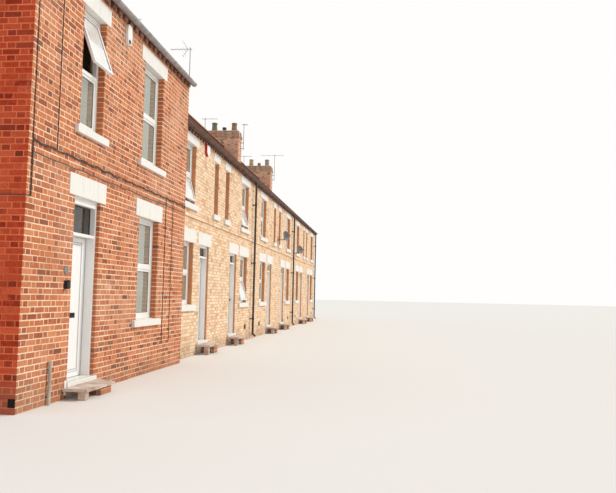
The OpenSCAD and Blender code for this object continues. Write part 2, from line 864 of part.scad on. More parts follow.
// Doors
jamb_d = wall_t - door_reveal;
leaf_w = door_w - 2 * jamb_t - 2 * leaf_gap;
function threshold_z(d) = d[2] + 5;
function leaf_z(d) = threshold_z(d) + leaf_gap;
function transom_z(d) = leaf_z(d) + d[5] + leaf_gap;
function inner_head_z(d) = d[3] - d[6];
function hinge_x(d) = d[0] + d[4] * (leaf_w + leaf_gap) / 2;
function knuckle_z(d, i) = leaf_z(d) + 190 + i * (d[5] - 420 - knuckle_l) / 2;

// Rebated post on one side of a doorway
module jamb(d, side) {
    leaf_back = wall_t - leaf_t - leaf_gap;
    translate([d[0], d[1], threshold_z(d)]) mirror([side < 0 ? 1 : 0, 0, 0])
        linear_extrude(d[3] - threshold_z(d)) polygon([[door_w / 2, door_reveal], [door_w / 2, wall_t],
            [door_w / 2 - jamb_t, wall_t], [door_w / 2 - jamb_t, leaf_back],
            [door_w / 2 - jamb_t - stop_t, leaf_back], [door_w / 2 - jamb_t - stop_t, door_reveal]]);
}

module knuckle(d, z) {
    translate([hinge_x(d), d[1] + wall_t + knuckle_r, z]) cylinder(r = knuckle_r, h = knuckle_l);
}

module door_jambs() {
    color("white") placed() for (d = doors) {
        for (side = sides) jamb(d, side);
        for (i = [0:2]) {
            knuckle(d, knuckle_z(d, i));
            block([min(d[0] + d[4] * door_w / 2, hinge_x(d)), d[1] + wall_t, knuckle_z(d, i)],
                [max(d[0] + d[4] * door_w / 2, hinge_x(d)), d[1] + wall_t + 3, knuckle_z(d, i) + knuckle_l]);
        }
    }
}

// Head and fanlight bar of each door frame, between the posts
module door_heads() {
    color("white") placed() for (d = doors) {
        frame_bar(d, inner_head_z(d), d[3], door_reveal, wall_t);
        frame_bar(d, transom_z(d), transom_z(d) + transom_h, door_reveal, wall_t);
    }
}

// Piece that spans a door frame between its two posts, notched round their rebates
module frame_bar(d, z0, z1, y0, y1) {
    inner = door_w / 2 - jamb_t - stop_t;
    block([d[0] - inner, d[1] + y0, z0], [d[0] + inner, d[1] + y1, z1]);
}

module fanlights() {
    middle = door_reveal + jamb_d / 2;
    color("slategray") placed() for (d = doors)
        frame_bar(d, transom_z(d) + transom_h, inner_head_z(d), middle - glass_t / 2, middle + glass_t / 2);
}

// Turned knob on a short neck, drawn from the leaf's face outwards
module knob() {
    rotate_extrude() polygon([[0, 0], [knob_r * 0.8, 0], [knob_r * 0.8, 4], [knob_r * 0.45, 8],
        [knob_r * 0.45, 24], [knob_r * 0.7, 28], [knob_r, 38], [knob_r, 44], [knob_r * 0.8, 50], [0, 52]]);
}

// Leaf with a sunk panel, letter plate, knob and its hinge knuckles
module front_door(i) {
    d = doors[i];
    y = d[1] + wall_t - leaf_t;
    color("white") placed() {
        translate([d[0] - leaf_w / 2, y, leaf_z(d)]) difference() {
            cube([leaf_w, leaf_t, d[5]]);
            block([stile_w, -eps, rail_h], [leaf_w - stile_w, panel_deep, d[5] - rail_h]);
        }
        block([d[0] - letter_w / 2, y - 3, leaf_z(d) + letter_z],
            [d[0] + letter_w / 2, y + panel_deep, leaf_z(d) + letter_z + letter_h]);
        translate([d[0] - d[4] * (leaf_w / 2 - knob_in), y, leaf_z(d) + knob_z]) rotate([90, 0, 0]) knob();
        for (n = [0:2]) {
            z = knuckle_z(d, n) + knuckle_l + 1;
            knuckle(d, z);
            block([min(d[0] + d[4] * (leaf_w / 2 - 30), hinge_x(d)), d[1] + wall_t, z],
                [max(d[0] + d[4] * (leaf_w / 2 - 30), hinge_x(d)), d[1] + wall_t + 3, z + knuckle_l]);
        }
    }
}

// Brick block under each doorway with a painted nosing on top
module door_thresholds() {
    half = door_w / 2;
    color("gainsboro") placed() for (d = doors) {
        block([d[0] - half, d[1], 0], [d[0] + half, d[1] + wall_t, threshold_z(d)]);
        block([d[0] - half - nosing_past, d[1] - nosing_out, threshold_z(d) - nosing_h],
            [d[0] + half + nosing_past, d[1], threshold_z(d)]);
    }
}

// Stone slab on a wide and a small pier, open underneath at one end
module door_steps() {
    color("silver") placed() for (d = doors) {
        top = threshold_z(d) - nosing_h;
        translate([d[0] - step_l / 2, d[1] - step_out, 0]) {
            translate([0, 0, top - step_t]) linear_extrude(step_t) polygon([[0, 0], [step_l - slab_cut, 0],
                [step_l, 2 * slab_cut], [step_l, step_out], [0, step_out]]);
            block([step_l / 2, slab_past, 0], [step_l - slab_past - slab_cut, step_out, top - step_t]);
            block([slab_past, slab_past, 0], [slab_past + small_pier, slab_past + small_pier, top - step_t]);
        }
    }
}

// Chimneys
row_stacks = [for (i = [0:pairs - 1]) i == pairs - 1 ? total_w - stack_w : joint_list[i] - stack_w / 2];

function middle_x(i) = row_stacks[i] + stack_w / 2;

module stack_shaft(x, ridge_y, z0, z1) {
    block([x, ridge_y - stack_d / 2, z0], [x + stack_w, ridge_y + stack_d / 2, z1]);
}

// Stack from its seat on a cross wall up to two oversailing courses and a mortar cap
module stack(x, ridge_y, plate_z, ridge_z, up) {
    foot = ridge_z - roof_v - stack_d / 2 * tan(pitch);
    top = ridge_z + up;
    stack_shaft(x, ridge_y, foot, top);
    block([x - corbel_out, ridge_y - stack_d / 2 - corbel_out, top - 4 * course],
        [x + stack_w + corbel_out, ridge_y + stack_d / 2 + corbel_out, top - 2 * course]);
    translate([x + stack_w / 2, ridge_y, top]) linear_extrude(cap_h, scale = 0.9)
        square([stack_w - 20, stack_d - 20], center = true);
}

module chimney_stacks() {
    color("rosybrown") placed() {
        stack(end_w - stack_w, end_ridge_y, end_plate_z, end_ridge_z, end_stack_up);
        for (x = row_stacks) stack(x, row_ridge_y, row_plate_z, row_ridge_z, stack_up);
    }
}

// Clay pot with a rolled rim and a true flue through it
module pot(r, h) {
    rotate_extrude($fn = 40) difference() {
        union() {
            polygon([[0, 0], [r, 0], [r * 0.82, h], [0, h]]);
            square([r * 1.09, 40]);
            translate([0, h - 60]) square([r, 45]);
        }
        translate([0, -eps]) square([r * flue_share, h + 2 * eps]);
    }
}

// Pots along the middle of a stack, from the street side to the rear
module pot_set(x, ridge_y, top, heights) {
    for (i = [0:2]) if (heights[i] > 0)
        translate([x + stack_w / 2, ridge_y + (i - 1) * pot_off, top + cap_h + seat_gap])
            pot(i == 1 ? pot_r * thin_pot : pot_r, heights[i]);
}

module chimney_pots() {
    heights = [front_pot_h, middle_pot_h, rear_pot_h];
    color("tan") placed() {
        pot_set(end_w - stack_w, end_ridge_y, end_ridge_z + end_stack_up, heights);
        for (x = row_stacks) pot_set(x, row_ridge_y, row_ridge_z + stack_up,
            x == row_stacks[0] ? [0, middle_pot_h, rear_pot_h] : heights);
    }
}

// Fittings on the fronts
// Six-sided bell box with rounded corners on the end house, and a five-sided one on the row
module alarm_boxes() {
    round_r = 30;
    half = end_alarm_w / 2 - round_r;
    high = end_alarm_h / 2 - round_r;
    color("white") placed() {
        under_dentils(end_door_x + end_alarm_off, 0, end_plate_z, end_alarm_h) linear_extrude(end_alarm_d)
            offset(r = round_r) polygon([[-half * 0.6, -high], [half * 0.6, -high], [half, 0],
                [half * 0.6, high], [-half * 0.6, high], [-half, 0]]);
        under_dentils(pair_x(0) - row_alarm_off, row_y, row_plate_z, row_alarm_h) linear_extrude(row_alarm_d)
            polygon([[-row_alarm_w / 2, row_alarm_h / 2], [row_alarm_w / 2, row_alarm_h / 2],
                [row_alarm_w / 2, -row_alarm_h * 0.2], [0, -row_alarm_h / 2],
                [-row_alarm_w / 2, -row_alarm_h * 0.2]]);
    }
}

// Puts a fitting of height h on a front, close under the dentils
module under_dentils(x, face_y, plate_z, h) {
    translate([x, face_y, dentil_foot(plate_z) - alarm_drop - h / 2]) rotate([90, 0, 0]) children();
}

// Wall-mounted dish: bracket on the wall, arm and shallow bowl with its receiver on a strut
module dish(x, z) {
    arm_r = 16;
    arm_l = 260;
    post_h = 160;
    translate([x, row_y, z]) {
        block([-60, -8, -60], [60, 0, 60]);
        rotate([90, 0, 0]) cylinder(r = arm_r, h = arm_l);
        translate([0, 10 - arm_l, 0]) cylinder(r = arm_r + 2, h = post_h);
        translate([0, -10 - arm_l, post_h - 10]) rotate([80, 0, -25]) {
            rotate_extrude($fn = 60) polygon([[0, 0], [dish_r * 0.3, 4], [dish_r * 0.65, 22], [dish_r, 58],
                [dish_r, 64], [dish_r * 0.64, 30], [dish_r * 0.29, 12], [0, 8]]);
            translate([0, -20, 0]) cylinder(r = 9, h = 190);
            translate([0, -20, 190]) cylinder(r = 28, h = 60);
        }
    }
}

module satellite_dishes() {
    color("dimgray") placed() {
        dish(pair_x(1) + first_dish_off, first_dish_z);
        dish(joint_list[1] + second_dish_off, second_dish_z);
    }
}

// Mast on two brackets beside a stack, with a boom of which a share lies on the side of the stack
module aerial(x, side, stand_off, mast_h, length, share) {
    foot = row_ridge_z + stack_up - aerial_foot;
    plate_t = 6;
    translate([x, row_ridge_y + side * (stack_d / 2 + stand_off), foot]) mirror([0, side < 0 ? 0 : 1, 0]) {
        cylinder(r = mast_r, h = mast_h);
        for (z = [60, 330]) {
            block([-14, 0, z], [14, stand_off - plate_t, z + 28]);
            block([-45, stand_off - plate_t, z - 20], [45, stand_off, z + 48]);
        }
        translate([0, -length * (1 - share), mast_h - boom_drop]) {
            rotate([-90, 0, 0]) cylinder(r = boom_r, h = length);
            for (i = [1:rods]) translate([0, length * (i - 0.5) / rods, 0]) cross_rod(rod_l * (1 - i / 16));
        }
    }
}

module cross_rod(length) {
    rotate([0, 90, 0]) cylinder(r = boom_r / 2, h = length, center = true);
}

// Two slanted wings of rods that open from the first boom, a little way along it
module reflector() {
    spread = 58;
    mast_y = row_ridge_y - stack_d / 2 - first_off;
    boom_z = row_ridge_z + stack_up - aerial_foot + first_mast_h - boom_drop;
    translate([middle_x(0), mast_y + wing_along, boom_z]) for (up = sides) rotate([up * spread, 0, 0]) {
        rotate([-90, 0, 0]) cylinder(r = boom_r * 0.7, h = wing_l);
        for (i = [1:3]) translate([0, wing_l * i / 3 - boom_r, 0]) cross_rod(rod_l * 0.8);
    }
}

module tv_aerials() {
    color("gray") placed() {
        aerial(middle_x(0), -1, first_off, first_mast_h, boom_l, 0.92);
        reflector();
        aerial(middle_x(0) - mast_shift, 1, mast_off, high_mast_h, boom_l, 0.25);
        for (i = [1:len(row_stacks) - 1]) {
            last = i == len(row_stacks) - 1;
            aerial(middle_x(i) - mast_shift, 1, mast_off, rear_mast_h, boom_l, last ? 0.65 : 0.8);
            if (last) aerial(middle_x(i) + mast_shift, -1, mast_off, tall_mast_h, long_boom_l, 0.6);
            else aerial(middle_x(i) + mast_shift, -1, mast_off, short_mast_h, short_boom_l, 0.35);
        }
    }
}

module wall_lantern() {
    color("black") placed() {
        translate([end_door_x - lantern_off, 0, plaque_z]) rotate([90, 0, 0]) cylinder(r = plaque_r, h = 12);
        translate([end_door_x - lantern_off, 0, lantern_z]) {
            block([-32, -10, -55], [32, 0, 62]);
            block([-12, -48, 46], [12, 0, 62]);
            translate([0, -44, -52]) cylinder(r = 30, h = 98);
            translate([0, -44, 46]) cylinder(r1 = 36, r2 = 10, h = 24);
        }
    }
}

// Straight cable from one point to another along X or Z, lying on the brick face
module cable_x(x0, x1, z, r) {
    translate([x0, -r, z]) rotate([0, 90, 0]) cylinder(r = r, h = x1 - x0);
}

module cable_z(x, z0, z1, r) {
    translate([x, -r, z0]) cylinder(r = r, h = z1 - z0);
}

// Cables clipped to the end house between its storeys, with one that turns the corner onto the gable
module wall_cables() {
    eaves_z = dentil_foot(end_plate_z);
    low_cable_z = end_low_head_z + low_lintel_h + low_cable_up;
    bundle_z = low_cable_z + bundle_up;
    color("black") placed() {
        cable_z(corner_cable_x, gable_cable_z, eaves_z, cable_r);
        cable_z(second_cable_x, bundle_z, eaves_z, cable_r);
        cable_x(corner_cable_x, end_w, bundle_z, bundle_r);
        cable_x(corner_cable_x, end_w, low_cable_z, cable_r);
        for (off = [first_drop_off, second_drop_off]) cable_z(end_window_x + off, drop_z, bundle_z, cable_r);
        cable_x(-2 * cable_r, corner_cable_x, gable_cable_z, cable_r);
        translate([-cable_r, -cable_r, gable_cable_z]) rotate([-90, 0, 0])
            cylinder(r = cable_r, h = end_ridge_y + cable_r);
    }
}

end_front_wall_left();
end_front_wall_right();
end_front_wall_upper();
end_gable_wall();
end_rear_wall();
end_party_wall();
end_floors();
end_roof();
row_front_wall_lower();
row_front_wall_upper();
row_rear_wall();
row_party_walls();
row_end_wall();
row_floors();
row_roof();
ridge_tiles();
eaves_dentils();
string_course();
window_lintels();
door_lintels();
window_sills();
window_frames();
window_glass();
open_lights();
door_jambs();
door_heads();
fanlights();
door_thresholds();
door_steps();
chimney_stacks();
chimney_pots();
gutters();
downpipes();
alarm_boxes();
satellite_dishes();
tv_aerials();
wall_lantern();
wall_cables();
for (i = [0:6]) front_door(i);
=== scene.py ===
"""Dresses the terraced house row: laid brickwork, tiled roofs, painted stone, windows, doors and fittings."""
import logging
import math
from dataclasses import dataclass, field
from enum import Enum

import bpy
import numpy as np
from mathutils import Matrix, Vector


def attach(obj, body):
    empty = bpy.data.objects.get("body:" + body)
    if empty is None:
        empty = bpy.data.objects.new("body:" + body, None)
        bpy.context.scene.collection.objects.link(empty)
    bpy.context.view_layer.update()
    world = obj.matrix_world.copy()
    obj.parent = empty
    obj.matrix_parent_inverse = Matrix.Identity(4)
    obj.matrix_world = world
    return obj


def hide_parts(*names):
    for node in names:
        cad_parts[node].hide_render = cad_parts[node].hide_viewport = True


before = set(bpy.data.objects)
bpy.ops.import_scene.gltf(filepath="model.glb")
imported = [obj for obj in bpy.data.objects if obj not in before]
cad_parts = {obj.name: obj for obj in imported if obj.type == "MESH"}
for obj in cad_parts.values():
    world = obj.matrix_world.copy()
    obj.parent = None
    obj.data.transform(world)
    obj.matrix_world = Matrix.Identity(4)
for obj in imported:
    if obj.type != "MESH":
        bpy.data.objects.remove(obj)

LOG = logging.getLogger("terrace")
HOUSE = "house"
Socket = bpy.types.NodeSocket
Piece = bpy.types.Object
Finish = bpy.types.Material
Colour = tuple[float, float, float]
Triple = tuple[float, float, float]
Span = tuple[float, float]
Hole = tuple[float, float, float, float]

# Tolerances in metres, the least width of a wide window, and how squarely a chosen face looks

TINY = 1e-6
SNAP = 1e-4
WIDE = 0.9
ALONG = 0.9


# Sizes


@dataclass(frozen=True)
class WindowSpec:
    """One window opening: its middle, width, sill, head and the sizes of its stones, in metres."""

    x: float
    w: float
    sill: float
    head: float
    lintel_h: float
    sill_h: float
    past: float
    opened: int = 0

    @property
    def wide(self) -> bool:
        """Tells the wide windows, which the rear repeats."""
        return self.w > WIDE


@dataclass(frozen=True)
class DoorSpec:
    """One front door: its middle, front face, floor, opening's head, hinge side, leaf and head bar."""

    x: float
    face: float
    floor: float
    head: float
    hinge: int
    leaf_h: float
    head_h: float
    lip: float = 0.005

    @property
    def top(self) -> float:
        """Height of the threshold's top."""
        return self.floor + self.lip


@dataclass(frozen=True)
class Site:
    """Sizes shared by the whole row, in metres from the tall house's left front corner."""

    end_w: float = 6.220
    first_w: float = 3.985
    house_w: float = 4.550
    pair_count: int = 3
    setback: float = 0.230
    depth: float = 6.870
    wall: float = 0.230
    course: float = 0.077
    pitch: float = math.radians(42.0)
    end_plate: float = 5.928
    row_plate: float = 5.225
    roof_t: float = 0.035
    roof_over: float = 0.110
    verge: float = 0.035
    stack_w: float = 0.675
    stack_d: float = 1.545
    stack_up: float = 0.725
    end_stack_up: float = 0.800
    corbel_out: float = 0.030
    dentil_out: float = 0.050
    dentil_h: float = 0.065
    door_w: float = 0.820
    door_past: float = 0.175
    door_lintel: float = 0.295
    reveal: float = 0.104
    sill_out: float = 0.055
    sill_fall: float = math.radians(7.0)
    wide_w: float = 0.970
    narrow_w: float = 0.450
    past: float = 0.175
    pipe_side: float = 0.400

    @property
    def rise(self) -> float:
        """Rise of the roof for each metre inward."""
        return math.tan(self.pitch)

    @property
    def sill_drop(self) -> float:
        """Fall of a sill from its back to its front."""
        return (self.reveal + self.sill_out) * math.tan(self.sill_fall)

    @property
    def back(self) -> float:
        """Distance of the rear face from the tall house's front."""
        return self.setback + self.depth

    @property
    def pairs(self) -> list[float]:
        """Middles of the handed pairs."""
        return [self.end_w + self.first_w + 2 * self.house_w * i for i in range(self.pair_count)]

    @property
    def joints(self) -> list[float]:
        """Party walls between the pairs, and the row's end."""
        return [x + self.house_w for x in self.pairs]

    @property
    def total(self) -> float:
        """Length of the whole row."""
        return self.joints[-1]

    @property
    def origin(self) -> Vector:
        """The frame's origin in these sizes."""
        return Vector((self.joints[0], (self.setback + self.back) / 2, 0.0))

    @property
    def roof_v(self) -> float:
        """Upright thickness of the roof covering."""
        return self.roof_t / math.cos(self.pitch)

    @property
    def end_ridge(self) -> Span:
        """Place and height of the tall house's ridge line."""
        y = self.back / 2
        return y, self.end_plate + y * self.rise + self.roof_v

    @property
    def row_ridge(self) -> Span:
        """Place and height of the lower houses' ridge line."""
        y = (self.setback + self.back) / 2
        return y, self.row_plate + self.depth / 2 * self.rise + self.roof_v

    @property
    def stacks(self) -> list[Triple]:
        """Left side, ridge place and top of each chimney stack.

        Returns:
            A triple for each stack.
        """
        found = [(self.end_w - self.stack_w, self.end_ridge[0], self.end_ridge[1] + self.end_stack_up)]
        for i, x in enumerate(self.joints):
            left = x - self.stack_w if i == self.pair_count - 1 else x - self.stack_w / 2
            found.append((left, self.row_ridge[0], self.row_ridge[1] + self.stack_up))
        return found

    def end_windows(self) -> list[WindowSpec]:
        """Windows of the tall house.

        Returns:
            The openings, the wide ones first.
        """
        low, high, sill_h = (0.975, 2.730, 0.295), (3.715, 5.423, 0.255), 0.108
        return [
            WindowSpec(4.145, self.wide_w, *low, sill_h, self.past),
            WindowSpec(4.145, self.wide_w, *high, sill_h, self.past),
            WindowSpec(1.660, 0.735, *high, sill_h, 0.140, 1),
        ]

    def row_windows(self) -> list[WindowSpec]:
        """Windows of the lower houses.

        Returns:
            The openings, house by house.
        """
        low, high, sill_h = (1.183, 2.585, 0.295), (3.465, 4.815, 0.215), 0.130
        found = []
        for x in self.pairs:
            for s in (-1, 1):
                first = x == self.pairs[0]
                low_open = -1 if first and s > 0 else 0
                up_open = -1 if first else 0
                wide = x + s * 2.980
                found.append(WindowSpec(wide, self.wide_w, *low, sill_h, self.past, low_open))
                found.append(WindowSpec(wide, self.wide_w, *high, sill_h, self.past, up_open))
                found.append(WindowSpec(x + s * 0.600, self.narrow_w, *high, sill_h, 0.097))
        return found

    def fronts(self) -> list[tuple[WindowSpec, float]]:
        """Every street window with the face that it is in."""
        return [(w, 0.0) for w in self.end_windows()] + [(w, self.setback) for w in self.row_windows()]

    def pipes(self) -> list[float]:
        """Places of the downpipes along the row."""
        return [x - self.pipe_side for x in self.joints]

    def seat(self, ridge_z: float) -> float:
        """Height of the brick course on which a stack starts under a ridge line."""
        foot = ridge_z - self.roof_v - self.stack_d / 2 * self.rise
        return math.floor(foot / self.course) * self.course

    def dentil_foot(self, plate: float) -> float:
        """Height of the dentils' underside below a roof that starts at a plate height."""
        return plate - self.dentil_out * self.rise - self.course - self.dentil_h

    def doors(self) -> list[DoorSpec]:
        """Front doors from the tall house on.

        Returns:
            The doors, from the left.
        """
        found = [DoorSpec(1.660, 0.0, 0.215, 2.730, 1, 1.966, 0.095)]
        for x in self.pairs:
            for s in (-1, 1):
                found.append(DoorSpec(x + s * 1.545, self.setback, 0.290, 2.585, -s, 1.981, 0.055))
        return found

    def put(self, x: float, y: float, z: float) -> Vector:
        """A place in the frame, from these sizes."""
        return Vector((x, y, z)) - self.origin


SITE = Site()


# Finishes


class Draft:
    """A node tree in the making, with the few node kinds that the finishes share."""

    def __init__(self, name: str) -> None:
        """Starts a material of that name with one surface shader.

        Args:
            name: the material's name.
        """
        self.material = bpy.data.materials.new(name)
        self.material.use_nodes = True
        self.nodes = self.material.node_tree.nodes
        self.links = self.material.node_tree.links
        self.shader = self.nodes["Principled BSDF"]
        self.place = self.nodes.new("ShaderNodeTexCoord").outputs["Object"]

    def plug(self, value: object, socket: Socket) -> None:
        """Links a socket, or sets a plain value.

        Args:
            value: an output socket, a number or a colour.
            socket: the input that takes it.
        """
        if isinstance(value, Socket):
            self.links.new(value, socket)
        else:
            socket.default_value = value

    def node(self, kind: str, **inputs: object) -> bpy.types.Node:
        """Adds a node and fills its inputs, whose names have _ for a space.

        Args:
            kind: end of the node type's name.
            **inputs: values or sockets.

        Returns:
            The node.
        """
        made = self.nodes.new("ShaderNode" + kind)
        for key, value in inputs.items():
            self.plug(value, made.inputs[key.replace("_", " ")])
        return made

    def stretched(self, scale: Triple) -> Socket:
        """Object coordinates multiplied along each axis."""
        return self.node("Mapping", Vector=self.place, Scale=scale).outputs["Vector"]

    def noise(
        self, scale: float, detail: float = 3.0, rough: float = 0.6, at: Socket | None = None
    ) -> Socket:
        """Fractal noise, 0 to 1."""
        node = self.node("TexNoise", Scale=scale, Detail=detail, Roughness=rough, Vector=at or self.place)
        return node.outputs["Fac"]

    def ramp(self, value: Socket, stops: list[tuple[float, Colour]], blend: str = "LINEAR") -> Socket:
        """Colour ramp over a value.

        Args:
            value: what is looked up.
            stops: places with their colours.
            blend: how it passes from stop to stop.

        Returns:
            The colour.
        """
        node = self.node("ValToRGB", Fac=value)
        node.color_ramp.interpolation = blend
        edge = node.color_ramp.elements
        while len(edge) < len(stops):
            edge.new(0.5)
        for item, (place, colour) in zip(edge, stops):
            item.position = place
            item.color = (*colour, 1.0)
        return node.outputs["Color"]

    def span(
        self, value: Socket, low: float, high: float, to_low: float = 0.0, to_high: float = 1.0,
    ) -> Socket:
        """Maps a range of a value to another range, clamped."""
        node = self.node("MapRange", Value=value, From_Min=low, From_Max=high, To_Min=to_low, To_Max=to_high)
        return node.outputs["Result"]

    def mix(self, fac: object, a: object, b: object) -> Socket:
        """Mixes two colours by a factor.

        Args:
            fac: share of the second one.
            a: first colour.
            b: second colour.

        Returns:
            The colour.
        """
        node = self.node("Mix")
        node.data_type = "RGBA"
        self.plug(fac, node.inputs["Factor"])
        for value, socket in ((a, node.inputs[6]), (b, node.inputs[7])):
            self.plug((*value, 1.0) if isinstance(value, tuple) else value, socket)
        return node.outputs[2]

    def sums(self, kind: str, a: object, b: object) -> Socket:
        """One step of arithmetic on two values.

        Args:
            kind: the step's name.
            a: first value.
            b: second value.

        Returns:
            The result.
        """
        node = self.node("Math")
        node.operation = kind
        self.plug(a, node.inputs[0])
        self.plug(b, node.inputs[1])
        return node.outputs["Value"]

    def times(self, a: object, b: object) -> Socket:
        """Product of two values."""
        return self.sums("MULTIPLY", a, b)

    def axis(self, name: str) -> Socket:
        """Place along one axis of the frame."""
        return self.node("SeparateXYZ", Vector=self.place).outputs[name]

    def height(self) -> Socket:
        """Height over the ground."""
        return self.axis("Z")

    def attribute(self, name: str, part: str = "Color") -> Socket:
        """Colour, or its fourth number, stored on the piece's own points.

        Args:
            name: what it is stored as.
            part: the output that is wanted.

        Returns:
            That output.
        """
        node = self.node("Attribute")
        node.attribute_name = name
        return node.outputs[part]

    def bump(self, value: Socket, distance: float, strength: float = 1.0) -> None:
        """Raises the surface by a value."""
        node = self.node("Bump", Distance=distance, Strength=strength, Height=value)
        self.links.new(node.outputs["Normal"], self.shader.inputs["Normal"])

    def surface(self, colour: object, roughness: object) -> Finish:
        """Plugs colour and roughness in and hands the material over.

        Args:
            colour: base colour.
            roughness: its roughness.

        Returns:
            The material.
        """
        self.plug((*colour, 1.0) if isinstance(colour, tuple) else colour, self.shader.inputs["Base Color"])
        self.plug(roughness, self.shader.inputs["Roughness"])
        return self.material

    def matt(self, level: float = 0.12) -> None:
        """Lowers the gloss of dry clay and mortar."""
        self.shader.inputs["Specular IOR Level"].default_value = level


@dataclass(frozen=True)
class BrickFinish:
    """Fired clay faces whose tone is stored brick by brick, with painted shade on the bricks' sides and in
    reveals.
    """

    name: str
    dark: Colour
    body: Colour
    light: Colour
    header: Colour
    pale: Colour = (0.72, 0.50, 0.36)
    soot: Colour = (0.13, 0.065, 0.05)
    lime: Colour = (0.80, 0.62, 0.47)
    # Painted shade for the bricks' sides in reveals and joints
    painted_side_shade: Colour = (0.50, 0.150, 0.058)
    splash: Colour = (0.26, 0.14, 0.085)

    def build(self) -> Finish:
        """Makes the material.

        Returns:
            The material.
        """
        d = Draft(self.name)
        tone, head, wear = d.node("SeparateColor", Color=d.attribute("tone")).outputs
        base = d.ramp(tone, [(0.0, self.dark), (0.25, self.body), (0.65, self.light), (1.0, self.body)])
        base = d.mix(d.times(head, 0.75), base, self.header)
        cloud = d.span(d.noise(0.9, 4.0), 0.45, 0.70)
        base = d.mix(d.times(cloud, 0.30), base, self.pale)
        grain = d.noise(55.0, 4.0, 0.7)
        base = d.mix(d.span(grain, 0.46, 0.72, 0.0, 0.55), base, self.dark)
        mottle = d.noise(14.0, 4.0, 0.7)
        base = d.mix(d.span(mottle, 0.50, 0.72, 0.0, 0.5), base, self.light)
        chalk = d.span(d.noise(23.0, 5.0, 0.75), 0.60, 0.72, 0.0, 0.45)
        base = d.mix(chalk, base, self.pale)
        broad = d.span(d.noise(1.7, 6.0, 0.7), 0.60, 0.68)
        smear = d.times(broad, d.span(d.noise(19.0, 5.0, 0.75), 0.42, 0.62))
        base = d.mix(d.times(smear, 0.75), base, self.lime)
        # Painted shade: points that lie back from the face, on the bricks' sides in reveals and joints, turn
        # towards a darker, more saturated colour.
        painted_side_shade = d.span(d.attribute("tone", "Alpha"), 0.04, 0.25, 0.0, 0.8)
        base = d.mix(painted_side_shade, base, self.painted_side_shade)
        sooty = d.times(d.span(wear, 0.88, 1.0), 0.75)
        base = d.mix(sooty, base, self.soot)
        uneven = d.span(d.noise(2.2), 0.3, 0.7, -0.30, 0.30)
        foot = d.span(d.sums("ADD", d.height(), uneven), 0.0, 0.40, 0.40, 0.0)
        base = d.mix(foot, base, self.splash)
        pits = d.sums("ADD", grain, d.times(d.noise(240.0, 2.0), 0.5))
        d.bump(pits, 0.0030, 0.8)
        d.matt()
        return d.surface(base, d.span(grain, 0.2, 0.8, 0.78, 0.95))


@dataclass(frozen=True)
class MortarFinish:
    """Lime mortar, pale where it is clean and grey-brown low down."""

    name: str
    clean: Colour
    stained: Colour
    splash: Colour = (0.26, 0.18, 0.12)

    def build(self) -> Finish:
        """Makes the material.

        Returns:
            The material.
        """
        d = Draft(self.name)
        patch = d.span(d.noise(1.4, 5.0), 0.45, 0.72)
        base = d.mix(patch, self.clean, self.stained)
        grain = d.noise(160.0, 3.0, 0.7)
        base = d.mix(d.span(grain, 0.45, 0.75, 0.0, 0.35), base, self.stained)
        foot = d.span(d.height(), 0.02, 0.35, 0.45, 0.0)
        base = d.mix(foot, base, self.splash)
        d.bump(grain, 0.0018, 0.8)
        d.matt()
        return d.surface(base, 0.95)


@dataclass(frozen=True)
class PlasterFinish:
    """Matt painted plaster on the room side of a wall."""

    name: str = "room_plaster"
    dull: Colour = (0.72, 0.66, 0.56)
    clean: Colour = (0.80, 0.75, 0.66)

    def build(self) -> Finish:
        """Makes the material.

        Returns:
            The material.
        """
        d = Draft(self.name)
        base = d.mix(d.span(d.noise(1.2, 4.0), 0.3, 0.7), self.dull, self.clean)
        d.bump(d.noise(35.0), 0.001, 0.5)
        return d.surface(base, 0.9)


@dataclass(frozen=True)
class TileFinish:
    """Weathered clay roof tiles whose tone is stored tile by tile."""

    name: str
    dark: Colour = (0.115, 0.060, 0.045)
    body: Colour = (0.27, 0.135, 0.095)
    light: Colour = (0.40, 0.225, 0.16)
    lichen: Colour = (0.36, 0.34, 0.24)
    soot: Colour = (0.14, 0.10, 0.085)

    def build(self) -> Finish:
        """Makes the material.

        Returns:
            The material.
        """
        d = Draft(self.name)
        tone = d.node("SeparateColor", Color=d.attribute("tone")).outputs[0]
        base = d.ramp(tone, [(0.0, self.dark), (0.45, self.body), (1.0, self.light)])
        grain = d.noise(70.0, 4.0, 0.7)
        lichen = d.span(d.noise(9.0, 6.0, 0.75), 0.60, 0.72)
        base = d.mix(d.times(lichen, 0.45), base, self.lichen)
        base = d.mix(d.span(d.noise(0.6, 4.0), 0.35, 0.7, 0.0, 0.45), base, self.soot)
        d.bump(grain, 0.002, 0.7)
        d.matt(0.25)
        return d.surface(base, d.span(grain, 0.2, 0.8, 0.75, 0.92))


@dataclass(frozen=True)
class PaintedStoneFinish:
    """White masonry paint over stone, greyed in streaks and chipped in small spots."""

    name: str
    paint: Colour = (0.78, 0.765, 0.73)
    stain: Colour = (0.50, 0.455, 0.39)
    chip: Colour = (0.30, 0.25, 0.20)

    def build(self) -> Finish:
        """Makes the material.

        Returns:
            The material.
        """
        d = Draft(self.name)
        streak = d.noise(3.0, 5.0, 0.65, d.stretched((6.0, 6.0, 0.9)))
        base = d.mix(d.span(streak, 0.50, 0.78, 0.0, 0.42), self.paint, self.stain)
        spots = d.span(d.noise(42.0, 3.0, 0.6), 0.69, 0.73)
        base = d.mix(d.times(spots, 0.55), base, self.chip)
        d.bump(d.noise(60.0, 4.0), 0.0012, 0.6)
        return d.surface(base, d.span(streak, 0.3, 0.7, 0.55, 0.8))


